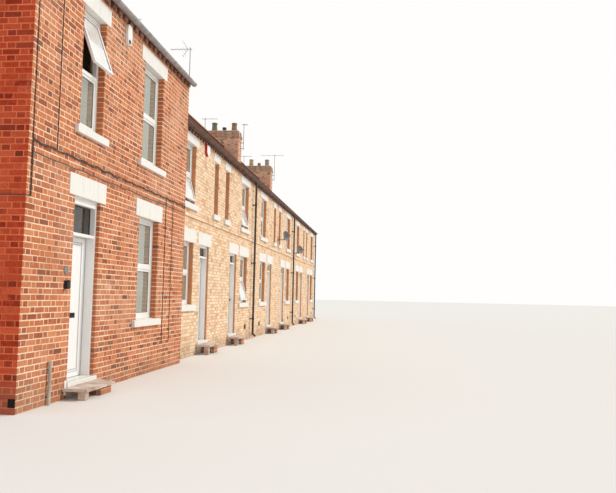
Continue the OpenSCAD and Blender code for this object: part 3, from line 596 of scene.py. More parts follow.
@dataclass(frozen=True)
class WornStoneFinish:
    """Walked-on sandstone with dark pores and ochre patches."""

    name: str
    dark: Colour = (0.36, 0.245, 0.190)
    body: Colour = (0.62, 0.49, 0.41)
    light: Colour = (0.80, 0.72, 0.64)
    pore: Colour = (0.13, 0.095, 0.07)

    def build(self) -> Finish:
        """Makes the material.

        Returns:
            The material.
        """
        d = Draft(self.name)
        patch = d.noise(4.0, 5.0, 0.65)
        base = d.ramp(patch, [(0.30, self.dark), (0.5, self.body), (0.72, self.light)])
        grain = d.noise(90.0, 4.0, 0.7)
        base = d.mix(d.span(grain, 0.3, 0.6, 0.32, 0.0), base, self.pore)
        d.bump(d.sums("ADD", patch, grain), 0.004, 0.7)
        return d.surface(base, 0.88)


@dataclass(frozen=True)
class PlasticFinish:
    """Moulded plastic with faint grime and fine handling marks."""

    name: str
    colour: Colour
    grime: Colour
    gloss: float = 0.28
    amount: float = 0.22
    shine: float = 0.5

    def build(self) -> Finish:
        """Makes the material.

        Returns:
            The material.
        """
        d = Draft(self.name)
        cloud = d.noise(5.0, 5.0, 0.6, d.stretched((1.0, 1.0, 0.35)))
        base = d.mix(d.span(cloud, 0.45, 0.75, 0.0, self.amount), self.colour, self.grime)
        fine = d.noise(220.0, 2.0)
        d.bump(fine, 0.0003, 0.3)
        d.matt(self.shine)
        return d.surface(base, d.span(cloud, 0.3, 0.75, self.gloss, self.gloss + 0.18))


@dataclass(frozen=True)
class ClayFinish:
    """Unglazed chimney clay, sooty towards the rim."""

    name: str
    body: Colour
    soot: Colour = (0.07, 0.055, 0.045)

    def build(self) -> Finish:
        """Makes the material.

        Returns:
            The material.
        """
        d = Draft(self.name)
        cloud = d.noise(6.0, 5.0, 0.65)
        base = d.mix(d.span(cloud, 0.45, 0.72, 0.0, 0.75), self.body, self.soot)
        grain = d.noise(110.0, 3.0)
        d.bump(grain, 0.0015, 0.6)
        return d.surface(base, 0.88)


@dataclass(frozen=True)
class MetalFinish:
    """Painted or bare sheet metal with dull spots."""

    name: str
    colour: Colour
    spots: Colour
    metallic: float = 0.0
    gloss: float = 0.45

    def build(self) -> Finish:
        """Makes the material.

        Returns:
            The material.
        """
        d = Draft(self.name)
        cloud = d.noise(14.0, 5.0, 0.65)
        base = d.mix(d.span(cloud, 0.48, 0.72, 0.0, 0.6), self.colour, self.spots)
        d.shader.inputs["Metallic"].default_value = self.metallic
        d.bump(d.noise(120.0), 0.0004, 0.4)
        return d.surface(base, d.span(cloud, 0.3, 0.7, self.gloss, self.gloss + 0.25))


@dataclass(frozen=True)
class BoardFinish:
    """Floor boards with grain along the row and dark seams."""

    name: str = "floor_boards"
    dark: Colour = (0.12, 0.065, 0.032)
    body: Colour = (0.27, 0.16, 0.085)
    light: Colour = (0.36, 0.235, 0.135)
    seam: Colour = (0.03, 0.018, 0.01)

    def build(self) -> Finish:
        """Makes the material.

        Returns:
            The material.
        """
        d = Draft(self.name)
        grain = d.noise(4.0, 6.0, 0.65, d.stretched((1.0, 24.0, 24.0)))
        base = d.ramp(grain, [(0.3, self.dark), (0.55, self.body), (0.75, self.light)])
        seam = d.node("TexWave", Scale=2.2, Vector=d.place)
        seam.bands_direction = "Y"
        base = d.mix(d.span(seam.outputs["Fac"], 0.0, 0.04, 0.9, 0.0), base, self.seam)
        d.bump(grain, 0.001, 0.5)
        return d.surface(base, 0.55)


@dataclass(frozen=True)
class GlassFinish:
    """Window glass with a diffuse film: faint dust on the closed lights, painted reflection on the open
    light, and a dark tint of painted shade on the fanlights.
    """

    name: str
    tint: Colour = (0.86, 0.87, 0.74)
    film: float = 0.16
    index: float = 1.75
    dust: Colour = (0.70, 0.75, 0.76)

    def build(self) -> Finish:
        """Makes the material.

        Returns:
            The material.
        """
        d = Draft(self.name)
        film = d.noise(3.0, 4.0, 0.6)
        base = d.mix(d.span(film, 0.4, 0.7, 0.0, 0.25), self.tint, self.dust)
        d.shader.inputs["Transmission Weight"].default_value = 1.0 - self.film
        d.shader.inputs["IOR"].default_value = self.index
        d.bump(d.noise(1.1, 1.0), 0.004, 0.15)
        return d.surface(base, d.span(film, 0.4, 0.7, 0.0, 0.05))


@dataclass(frozen=True)
class PipeFinish:
    """Black paint on the rainwater pipes, and bare grey on the short service pipe beside the first door."""

    name: str = "pipe_paint"
    split_x: float = -10.0
    black: tuple[Colour, Colour] = ((0.030, 0.026, 0.024), (0.095, 0.080, 0.065))
    grey: tuple[Colour, Colour] = ((0.60, 0.57, 0.53), (0.33, 0.28, 0.23))

    def build(self) -> Finish:
        """Makes the material.

        Returns:
            The material.
        """
        d = Draft(self.name)
        cloud = d.span(d.noise(5.0, 5.0, 0.6, d.stretched((1.0, 1.0, 0.35))), 0.45, 0.75)
        black = d.mix(d.times(cloud, 0.5), *self.black)
        grey = d.mix(cloud, *self.grey)
        left = d.sums("LESS_THAN", d.axis("X"), self.split_x)
        street = d.sums("LESS_THAN", d.axis("Y"), 0.0)
        d.bump(d.noise(180.0, 2.0), 0.0004, 0.4)
        base = d.mix(d.times(left, street), black, grey)
        return d.surface(base, d.span(cloud, 0.0, 1.0, 0.34, 0.6))


@dataclass(frozen=True)
class PotFinish:
    """Old chimney clay in the colours that the pots have on the nearer and the farther stacks."""

    name: str = "pot_clay"
    near: tuple[Colour, ...] = ((0.34, 0.20, 0.12), (0.13, 0.085, 0.06), (0.21, 0.20, 0.12))
    far: tuple[Colour, ...] = ((0.36, 0.32, 0.27), (0.40, 0.17, 0.10), (0.56, 0.42, 0.21))
    split_x: float = 13.0
    moss: Colour = (0.12, 0.125, 0.07)
    soot: Colour = (0.07, 0.055, 0.045)

    def build(self) -> Finish:
        """Makes the material.

        Returns:
            The material.
        """
        d = Draft(self.name)
        across = d.span(d.axis("Y"), -0.72, 0.72)
        base = d.mix(d.sums("GREATER_THAN", d.axis("X"), self.split_x), *(
            d.ramp(across, [(0.0, kind[0]), (0.333, kind[1]), (0.667, kind[2])], "CONSTANT")
            for kind in (self.near, self.far)
        ))
        base = d.mix(d.span(d.noise(6.0, 5.0, 0.65), 0.48, 0.74, 0.0, 0.7), base, self.soot)
        base = d.mix(d.span(d.noise(11.0, 5.0, 0.7), 0.56, 0.70, 0.0, 0.55), base, self.moss)
        d.bump(d.noise(110.0, 3.0), 0.0015, 0.6)
        return d.surface(base, 0.88)


class Finishes:
    """Every material of the row, made once."""

    def __init__(self) -> None:
        """Builds the set."""
        self._masonry()
        self._plastics()
        self.glass = GlassFinish("window_glass").build()
        # Painted reflection: the open light's glass is mostly a pale, diffuse film that stands in for the sky
        # it reflects.
        self.open_glass_painted_reflection = GlassFinish("open_light_painted_reflection", (0.94, 0.94, 0.92), 0.55).build()
        # Painted shade: the fanlight glass is tinted dark for the dark hall seen through it.
        self.fanlight_painted_shade = GlassFinish("fanlight_glass_painted_shade", (0.30, 0.27, 0.21), 0.06, 1.42).build()
        self.boards = BoardFinish().build()
        self.dish = MetalFinish("dish_grey", (0.13, 0.135, 0.14), (0.06, 0.06, 0.06)).build()
        self.black_metal = MetalFinish("lantern_black", (0.018, 0.018, 0.018), (0.07, 0.06, 0.05)).build()
        self.plaque = MetalFinish("plaque_grey", (0.22, 0.215, 0.21), (0.09, 0.085, 0.08)).build()
        bare = MetalFinish("aerial_metal", (0.42, 0.43, 0.44), (0.25, 0.25, 0.25), 0.8, 0.4)
        self.bare_metal = bare.build()

    def _masonry(self) -> None:
        """Bricks, mortars, plaster, tiles, pots and stones."""
        self.brick = BrickFinish(
            "front_brick", dark=(0.30, 0.080, 0.038), body=(0.52, 0.165, 0.070), light=(0.66, 0.260, 0.125),
            header=(0.27, 0.075, 0.042),
        ).build()
        # Painted sunlight: the row's bricks are a paler, creamier copy of the same brick as the front's, as
        # it looks in full sun.
        self.row_brick_painted_sun = BrickFinish(
            "row_brick_painted_sun", dark=(0.63, 0.385, 0.235), body=(0.81, 0.605, 0.410), light=(0.90, 0.770, 0.580),
            header=(0.67, 0.425, 0.260), pale=(0.88, 0.75, 0.58), soot=(0.50, 0.30, 0.19),
            lime=(0.90, 0.80, 0.66), painted_side_shade=(0.56, 0.15, 0.030),
        ).build()
        # Painted shade: the gable's bricks and mortar are a darker, deeper red copy of the front's, for the
        # gable's shade.
        self.gable_brick_painted_shade = BrickFinish(
            "gable_brick_painted_shade", dark=(0.27, 0.020, 0.007), body=(0.50, 0.056, 0.019), light=(0.68, 0.115, 0.048),
            header=(0.19, 0.018, 0.008), pale=(0.66, 0.17, 0.08), soot=(0.12, 0.025, 0.018),
            lime=(0.68, 0.22, 0.12),
        ).build()
        # Eaves bricks darker and browner: partly the dentils' own brown, partly painted shade under the
        # gutter.
        self.eaves_brick_and_shade = BrickFinish(
            "eaves_brick_and_shade", dark=(0.15, 0.070, 0.050), body=(0.34, 0.170, 0.120), light=(0.46, 0.26, 0.190),
            header=(0.17, 0.080, 0.055), pale=(0.40, 0.27, 0.20), lime=(0.46, 0.34, 0.27),
            painted_side_shade=(0.17, 0.075, 0.050),
        ).build()
        self.stack_brick = BrickFinish(
            "stack_brick", dark=(0.48, 0.220, 0.145), body=(0.76, 0.385, 0.250), light=(0.86, 0.54, 0.390),
            header=(0.46, 0.220, 0.155), pale=(0.70, 0.52, 0.39), soot=(0.110, 0.100, 0.060),
            lime=(0.66, 0.54, 0.42),
        ).build()
        self.mortar = MortarFinish("front_mortar", (0.88, 0.66, 0.47), (0.66, 0.43, 0.28)).build()
        # Painted shade: the row's mortar is darker and browner than its bricks, standing in for shadow in the
        # joints.
        self.row_mortar_painted_shade = MortarFinish("row_mortar_painted_shade", (0.66, 0.37, 0.18), (0.54, 0.27, 0.12)).build()
        # Painted shade: the gable mortar is darkened and reddened with the gable's bricks.
        self.gable_mortar_painted_shade = MortarFinish("gable_mortar_painted_shade", (0.76, 0.20, 0.092), (0.42, 0.070, 0.028)).build()
        self.stack_mortar = MortarFinish("stack_mortar", (0.60, 0.45, 0.34), (0.34, 0.24, 0.17)).build()
        self.plaster = PlasterFinish().build()
        self.tile = TileFinish("roof_tile").build()
        self.ridge = ClayFinish("ridge_clay", (0.30, 0.115, 0.07)).build()
        self.pot = PotFinish().build()
        self.paint = PaintedStoneFinish("painted_stone").build()
        self.stone = WornStoneFinish("step_stone").build()

    def _plastics(self) -> None:
        """Frames, leaves, gutters, pipes, cables and alarm covers."""

        def plastic(name: str, colour: Colour, grime: Colour, *rest: float) -> Finish:
            """One plastic."""
            return PlasticFinish(name, colour, grime, *rest).build()

        self.white = plastic("white_frame", (0.84, 0.84, 0.825), (0.52, 0.50, 0.45))
        self.leaf = plastic("white_leaf", (0.87, 0.87, 0.865), (0.62, 0.60, 0.56), 0.3, 0.12)
        # Painted shade: the grey on the slopes of the leaf's mouldings stands in for the shadow in their
        # creases.
        self.bead = plastic("leaf_moulding_painted_shade", (0.46, 0.46, 0.47), (0.34, 0.33, 0.32), 0.4, 0.3)
        self.gasket = plastic("black_seal", (0.03, 0.03, 0.032), (0.09, 0.085, 0.08), 0.5, 0.3)
        self.gutter_grey = plastic("gutter_grey", (0.34, 0.315, 0.31), (0.15, 0.115, 0.105), 0.5, 0.8, 0.3)
        self.gutter_brown = plastic(
            "gutter_brown", (0.100, 0.055, 0.040), (0.045, 0.028, 0.022), 0.5, 0.6, 0.2)
        self.soffit = plastic("eaves_board", (0.15, 0.10, 0.075), (0.07, 0.05, 0.04), 0.8, 0.6)
        self.pipe = PipeFinish().build()
        self.black = plastic("black_plastic", (0.016, 0.013, 0.013), (0.04, 0.03, 0.03), 0.45, 0.4, 0.12)
        self.cable = plastic("cable_sheath", (0.055, 0.040, 0.034), (0.12, 0.085, 0.065), 0.5, 0.6)
        self.red = plastic("alarm_red", (0.56, 0.02, 0.012), (0.25, 0.03, 0.02), 0.35, 0.3)
        self.lens = plastic("alarm_lens", (0.02, 0.028, 0.055), (0.06, 0.06, 0.07), 0.15, 0.3)
        self.smoked = plastic("lantern_glass", (0.05, 0.05, 0.05), (0.14, 0.13, 0.12), 0.08, 0.3)


# Workbench


class Bench:
    """The few hand operations that every piece is made with."""

    @staticmethod
    def clear() -> None:
        """Leaves nothing selected, in object mode."""
        if bpy.context.object and bpy.context.object.mode != "OBJECT":
            bpy.ops.object.mode_set(mode="OBJECT")
        for item in bpy.context.selected_objects:
            item.select_set(False)

    @staticmethod
    def pick(piece: Piece) -> None:
        """Selects one object and makes it active.

        Args:
            piece: the object.
        """
        Bench.clear()
        piece.select_set(True)
        bpy.context.view_layer.objects.active = piece

    @staticmethod
    def fix_place(piece: Piece) -> None:
        """Moves the object's place, turn and size into its mesh."""
        Bench.pick(piece)
        bpy.ops.object.transform_apply(location=True, rotation=True, scale=True)

    @staticmethod
    def block(low: Vector, high: Vector, name: str) -> Piece:
        """A cube stretched between two corners of the frame, ready to be shaped.

        Args:
            low: lowest corner.
            high: highest corner.
            name: the object's name.

        Returns:
            The new object, with its place in its mesh.
        """
        Bench.clear()
        bpy.ops.mesh.primitive_cube_add(size=1.0, location=(low + high) / 2)
        piece = bpy.context.object
        piece.name = name
        piece.scale = high - low
        Bench.fix_place(piece)
        return piece

    @staticmethod
    def box(x: Span, y: Span, z: Span, name: str = "part") -> Piece:
        """A block that spans two places of the row along each axis."""
        low = SITE.put(min(x), min(y), min(z))
        return Bench.block(low, SITE.put(max(x), max(y), max(z)), name)

    @staticmethod
    def shift(piece: Piece, at: Vector, turn: Matrix | None = None) -> None:
        """Turns a mesh about the origin where asked, and moves it."""
        piece.data.transform(Matrix.Translation(at) @ (turn or Matrix.Identity(4)))

    @staticmethod
    def edit(mode: str) -> None:
        """Opens the active mesh with all of it selected, in one of the selection modes.

        Args:
            mode: VERT, EDGE or FACE.
        """
        bpy.ops.object.mode_set(mode="EDIT")
        bpy.ops.mesh.select_mode(type=mode)
        bpy.ops.mesh.select_all(action="SELECT")

    @staticmethod
    def edit_side(piece: Piece, normal: Triple) -> None:
        """Opens a mesh with the faces selected that look along a direction.

        Args:
            piece: the active object.
            normal: the direction.
        """
        Bench.edit("FACE")
        bpy.ops.mesh.select_all(action="DESELECT")
        bpy.ops.object.mode_set(mode="OBJECT")
        for face in piece.data.polygons:
            face.select = face.normal.dot(Vector(normal)) > ALONG
        bpy.ops.object.mode_set(mode="EDIT")

    @staticmethod
    def leave(outward: bool = False) -> Piece:
        """Leaves edit mode, with all faces turned outward where asked.

        Args:
            outward: turns the faces.

        Returns:
            The object that was open.
        """
        if outward:
            bpy.ops.mesh.select_all(action="SELECT")
            bpy.ops.mesh.normals_make_consistent(inside=False)
        bpy.ops.object.mode_set(mode="OBJECT")
        return bpy.context.object

    @staticmethod
    def draw(x: float = 0.0, y: float = 0.0, z: float = 0.0) -> None:
        """Draws the selected faces or edges out along a direction."""
        bpy.ops.mesh.extrude_region_move(TRANSFORM_OT_translate={"value": (x, y, z)})

    @staticmethod
    def trim(piece: Piece, place: Vector, normal: Triple) -> None:
        """Cuts a shape by a plane, drops the side that the normal points to and closes the cut.

        Args:
            piece: the object.
            place: a point on the plane.
            normal: the dropped side.
        """
        Bench.pick(piece)
        bpy.ops.object.mode_set(mode="EDIT")
        bpy.ops.mesh.select_all(action="SELECT")
        bpy.ops.mesh.bisect(plane_co=place, plane_no=normal, use_fill=True, clear_outer=True)
        bpy.ops.object.mode_set(mode="OBJECT")

    @staticmethod
    def coat(piece: Piece, *finishes: Finish) -> Piece:
        """Gives a part its own finishes.

        Args:
            piece: the object.
            *finishes: its materials in order.

        Returns:
            The same object.
        """
        piece.data.materials.clear()
        for finish in finishes:
            piece.data.materials.append(finish)
        return piece

    @staticmethod
    def apply(piece: Piece, kind: str, **settings: object) -> Piece:
        """Adds one modifier, sets it and applies it.

        Args:
            piece: the object.
            kind: type of the modifier.
            **settings: its settings.

        Returns:
            The same object.
        """
        Bench.pick(piece)
        modifier = piece.modifiers.new(kind.lower(), kind)
        for key, value in settings.items():
            setattr(modifier, key, value)
        bpy.ops.object.modifier_apply(modifier=modifier.name)
        return piece

    @staticmethod
    def soften(piece: Piece, width: float, segments: int = 2) -> Piece:
        """Rounds the sharp edges.

        Args:
            piece: the object.
            width: width of the rounding.
            segments: its steps.

        Returns:
            The same object.
        """
        return Bench.apply(
            piece, "BEVEL", width=width, segments=segments, limit_method="ANGLE", angle_limit=math.radians(40)
        )

    @staticmethod
    def cut(piece: Piece, cutter: Piece) -> Piece:
        """Takes one shape out of another and drops the cutter.

        Args:
            piece: what is cut.
            cutter: what is taken out.

        Returns:
            The cut object.
        """
        Bench.apply(piece, "BOOLEAN", operation="DIFFERENCE", object=cutter, solver="EXACT")
        bpy.data.objects.remove(cutter)
        return piece

    @staticmethod
    def join(parts: list[Piece], name: str) -> Piece:
        """Joins several objects into one of that name.

        Args:
            parts: one object or more.
            name: the name of the whole.

        Returns:
            The joined object.
        """
        Bench.pick(parts[0])
        for item in parts:
            item.select_set(True)
        if len(parts) > 1:
            bpy.ops.object.join()
        parts[0].name = name
        return parts[0]

    @staticmethod
    def copy(piece: Piece, shift: Vector, mirrored: bool = False) -> Piece:
        """A copy with its own mesh, moved, and turned to face the rear where asked.

        Args:
            piece: what is copied.
            shift: how far the copy moves.
            mirrored: turns the copy half round the upright axis first.

        Returns:
            The copy.
        """
        twin = piece.copy()
        twin.data = piece.data.copy()
        bpy.context.scene.collection.objects.link(twin)
        turn = Matrix.Rotation(math.pi, 4, "Z") if mirrored else Matrix.Identity(4)
        Bench.shift(twin, shift, turn)
        return twin

    @staticmethod
    def hand_over(
        piece: Piece, finish: Finish | None, slot: str, nodes: tuple[str, ...] = (), body: str = HOUSE
    ) -> Piece:
        """Gives a finished piece its finish and its body, and hides the solids that it stands for.

        Args:
            piece: the finished object.
            finish: its material, or None where its faces have theirs.
            slot: not used.
            nodes: the solids that it replaces.
            body: the body that it rides on.

        Returns:
            The same object.
        """
        if finish is not None:
            Bench.coat(piece, finish)
        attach(piece, body)
        if nodes:
            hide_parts(*nodes)
        LOG.info("%s: %d faces", piece.name, len(piece.data.polygons))
        return piece


# Brickwork


class Facing(Enum):
    """The side that a wall face looks to: the street, the rear, the left or the right."""

    STREET = 0
    REAR = 1
    LEFT = 2
    RIGHT = 3


@dataclass
class Master:
    """One modelled unit, a brick or a tile, whose points are re-spaced to each laid size."""

    points: np.ndarray
    faces: list[tuple[int, ...]]
    size: Span

    @staticmethod
    def brick(bevelled: bool, length: float = 0.215, depth: float = 0.100, height: float = 0.065) -> "Master":
        """Models a brick without its hidden back.

        Args:
            bevelled: rounds the edges of its face.
            length: along the course.
            depth: into the wall.
            height: up the wall.

        Returns:
            The unit.
        """
        piece = Bench.block(Vector((0, 0, 0)), Vector((length, depth, height)), "brick_master")
        Bench.edit_side(piece, (0, 1, 0))
        bpy.ops.mesh.delete(type="ONLY_FACE")
        Bench.leave()
        if bevelled:
            Bench.edit_side(piece, (0, -1, 0))
            bpy.ops.mesh.bevel(offset=0.0025, segments=1, affect="EDGES")
            Bench.leave()
        points = np.array([v.co for v in piece.data.vertices], float)
        master = Master(points, [tuple(f.vertices) for f in piece.data.polygons], (length, height))
        bpy.data.objects.remove(piece)
        return master

    def stamp(self, name: str, places: np.ndarray, tones: np.ndarray, turned_over: bool) -> Piece:
        """One mesh of many laid units.

        Args:
            name: the object's name.
            places: the points of each unit in the frame.
            tones: four numbers for each point.
            turned_over: turns the faces over.

        Returns:
            The new object.
        """
        count = len(self.points)
        faces = []
        for i in range(len(places) // count):
            for face in self.faces:
                ring = tuple(i * count + v for v in face)
                faces.append(ring[::-1] if turned_over else ring)
        mesh = bpy.data.meshes.new(name)
        mesh.from_pydata(places.tolist(), [], faces)
        tone = mesh.attributes.new("tone", "FLOAT_COLOR", "POINT")
        tone.data.foreach_set("color", tones.astype(np.float32).ravel())
        piece = bpy.data.objects.new(name, mesh)
        bpy.context.scene.collection.objects.link(piece)
        return piece


Rows = list[tuple[float, ...]]


@dataclass
class BrickFace:
    """One flat face of brickwork in Flemish bond, with its openings."""

    name: str
    facing: Facing
    plane: float
    u0: float
    u1: float
    z0: float
    z1: float
    openings: list[Hole] = field(default_factory=list)
    slope: Triple | None = None
    shift: float = 0.0
    seed: int = 1
    mitred: tuple[bool, bool] = (False, False)
    joint: float = 0.012
    stretcher: float = 0.225
    header: float = 0.1125
    uneven: float = 0.0018
    sliver: float = 0.03
    least_w: float = 0.02
    least_h: float = 0.010
    recess: float = 0.0015
    mitre: float = 0.05

    def roofline(self, u: float) -> float:
        """Height of the wall's top at a place along it.

        Args:
            u: the place.

        Returns:
            The height.
        """
        if self.slope is None:
            return self.z1
        low, high, plate = self.slope
        return min(self.z1, plate + min(u - low, high - u) * SITE.rise)

    def _free(self, za: float, zb: float) -> list[tuple[float, float, bool, bool]]:
        """Stretches of the face between openings at one height, with which ends are free edges.

        Args:
            za: foot of the height.
            zb: its top.

        Returns:
            Left, right, and whether each is free.
        """
        spans = [(self.u0, self.u1, True, True)]
        for a, b, low, high in self.openings:
            if high <= za + TINY or low >= zb - TINY:
                continue
            kept = []
            for s, e, fs, fe in spans:
                if b <= s or a >= e:
                    kept.append((s, e, fs, fe))
                    continue
                if a > s:
                    kept.append((s, a, fs, True))
                if b < e:
                    kept.append((b, e, True, fe))
            spans = kept
        return spans

    def lay(self, course_h: float) -> np.ndarray:
        """Works out every brick of the face.

        Args:
            course_h: height of a course with its joint.

        Returns:
            A row for each brick: left, right, foot, left and right top, recess and three tones.
        """
        rng = np.random.default_rng(self.seed)
        done: Rows = []
        period = self.stretcher + self.header
        half = self.joint / 2
        k0 = int(math.floor(self.z0 / course_h + TINY))
        k1 = int(math.ceil(self.z1 / course_h - TINY))
        marks = sorted({z for o in self.openings for z in (o[2], o[3])} | {self.z0, self.z1})
        for k in range(k0, k1):
            low, high = k * course_h, (k + 1) * course_h
            cuts = [low] + [z for z in marks if low + 0.004 < z < high - 0.004] + [high]
            offset = self.shift + (0.0 if k % 2 else (self.stretcher - self.header) / 2 + self.header)
            start = self.u0 + offset - 2 * period
            tones: dict[int, tuple[float, ...]] = {}
            laid: dict[tuple, list[list[float]]] = {}
            for za, zb in zip(cuts[:-1], cuts[1:]):
                if zb <= self.z0 + TINY or za >= self.z1 - TINY:
                    continue
                for s, e, fs, fe in self._free(za, zb):
                    n = int((s - start) // period) * 2 - 2
                    while True:
                        base = start + (n // 2) * period
                        a = base if n % 2 == 0 else base + self.stretcher
                        b = base + self.stretcher if n % 2 == 0 else base + period
                        n += 1
                        if b <= s + self.sliver:
                            continue
                        if a >= e - self.sliver:
                            break
                        left = s + (0.0 if fs else half) if a <= s + self.sliver else a + half
                        right = e - (0.0 if fe else half) if b >= e - self.sliver else b - half
                        if right - left < self.least_w:
                            continue
                        spans = laid.setdefault((n, left, right, left > s + 0.001, right < e - 0.001), [])
                        if spans and abs(spans[-1][1] - za) < TINY:
                            spans[-1][1] = zb
                        else:
                            spans.append([za, zb])
            for (n, left, right, open_left, open_right), spans in laid.items():
                for za, zb in spans:
                    zf = za + (half if za == low else 0.0)
                    zt = zb - (half if zb == high else 0.0)
                    if zt - zf < self.least_h:
                        continue
                    if n not in tones:
                        head = 1.0 if n % 2 == 0 else 0.0
                        tones[n] = (rng.random(), (0.35 + 0.65 * head) * rng.random() ** 1.8, rng.random())
                    wave = 0.0022 * math.sin(1.9 * left + 0.9 * k) + 0.0012 * math.sin(7.3 * left + 2.1 * k)
                    shove = self.uneven * (2 * rng.random(4) - 1)
                    self._set(done, left + shove[0] * open_left, right + shove[1] * open_right,
                              zf + (wave + shove[2]) * (zf > za), zt + (wave + shove[3]) * (zt < zb),
                              rng.random() * self.recess, tones[n])
        return np.array(done, float).reshape(-1, 9)

    def _set(
        self, done: Rows, a: float, b: float, zf: float, zt: float, recess: float, tone: tuple[float, ...]
    ) -> None:
        """Adds one brick, cut to the roofline.

        Args:
            done: the bricks laid so far.
            a: left end.
            b: right end.
            zf: foot.
            zt: top.
            recess: how far it lies back.
            tone: its three tones.
        """
        left, right = self.roofline(a), self.roofline(b)
        if self.slope is not None:
            low, high, plate = self.slope
            reach = (zf + self.joint - plate) / SITE.rise
            if left < zf + self.joint:
                a = low + reach
            if right < zf + self.joint:
                b = high - reach
            if b - a < self.sliver:
                return
            left, right = self.roofline(a), self.roofline(b)
        done.append((a, b, zf, min(zt, left), min(zt, right), recess, *tone))

    def to_frame(self, u: np.ndarray, d: np.ndarray, z: np.ndarray) -> np.ndarray:
        """Turns places along, into and up the face into places in the frame.

        Args:
            u: places along.
            d: places into.
            z: heights.

        Returns:
            The points.
        """
        if self.facing is Facing.STREET:
            x, y = u, self.plane + d
        elif self.facing is Facing.REAR:
            x, y = u, self.plane - d
        elif self.facing is Facing.LEFT:
            x, y = self.plane + d, u
        else:
            x, y = self.plane - d, u
        return np.stack([x, y, z], -1) - np.array(SITE.origin)

    def build(self, master: Master, rows: np.ndarray, name: str) -> Piece:
        """Makes one mesh of all laid bricks.

        Args:
            master: the modelled brick.
            rows: the laid bricks.
            name: the object's name.

        Returns:
            The new object.
        """
        length, height = master.size
        p = master.points
        right = p[:, 0] > length / 2
        top = p[:, 2] > height / 2
        u0, u1, z0, zl, zr, rec = (rows[:, i : i + 1] for i in range(6))
        u = np.where(right, u1 + (p[:, 0] - length), u0 + p[:, 0])
        starts = (np.abs(u0 - self.u0) < TINY) & self.mitred[0]
        ends = (np.abs(u1 - self.u1) < TINY) & self.mitred[1]
        inner = p[:, 1] > self.mitre
        u = np.where(starts & ~right & inner, u0 + p[:, 1], u)
        u = np.where(ends & right & inner, u1 - p[:, 1], u)
        part = np.clip((u - u0) / (u1 - u0), 0, 1)
        z = np.where(top, zl + (zr - zl) * part + (p[:, 2] - height), z0 + p[:, 2])
        d = p[:, 1][None, :] + rec
        co = self.to_frame(u, d, z).reshape(-1, 3)
        # Each point's depth behind the face goes in as the fourth tone number; the finish paints shade on the
        # bricks' sides by it.
        deep = np.clip(np.tile(p[:, 1], len(rows)) / 0.1, 0, 1)[:, None]
        tones = np.concatenate([np.repeat(rows[:, 6:9], len(p), axis=0), deep], 1)
        return master.stamp(name, co, tones, self.facing in (Facing.REAR, Facing.LEFT))


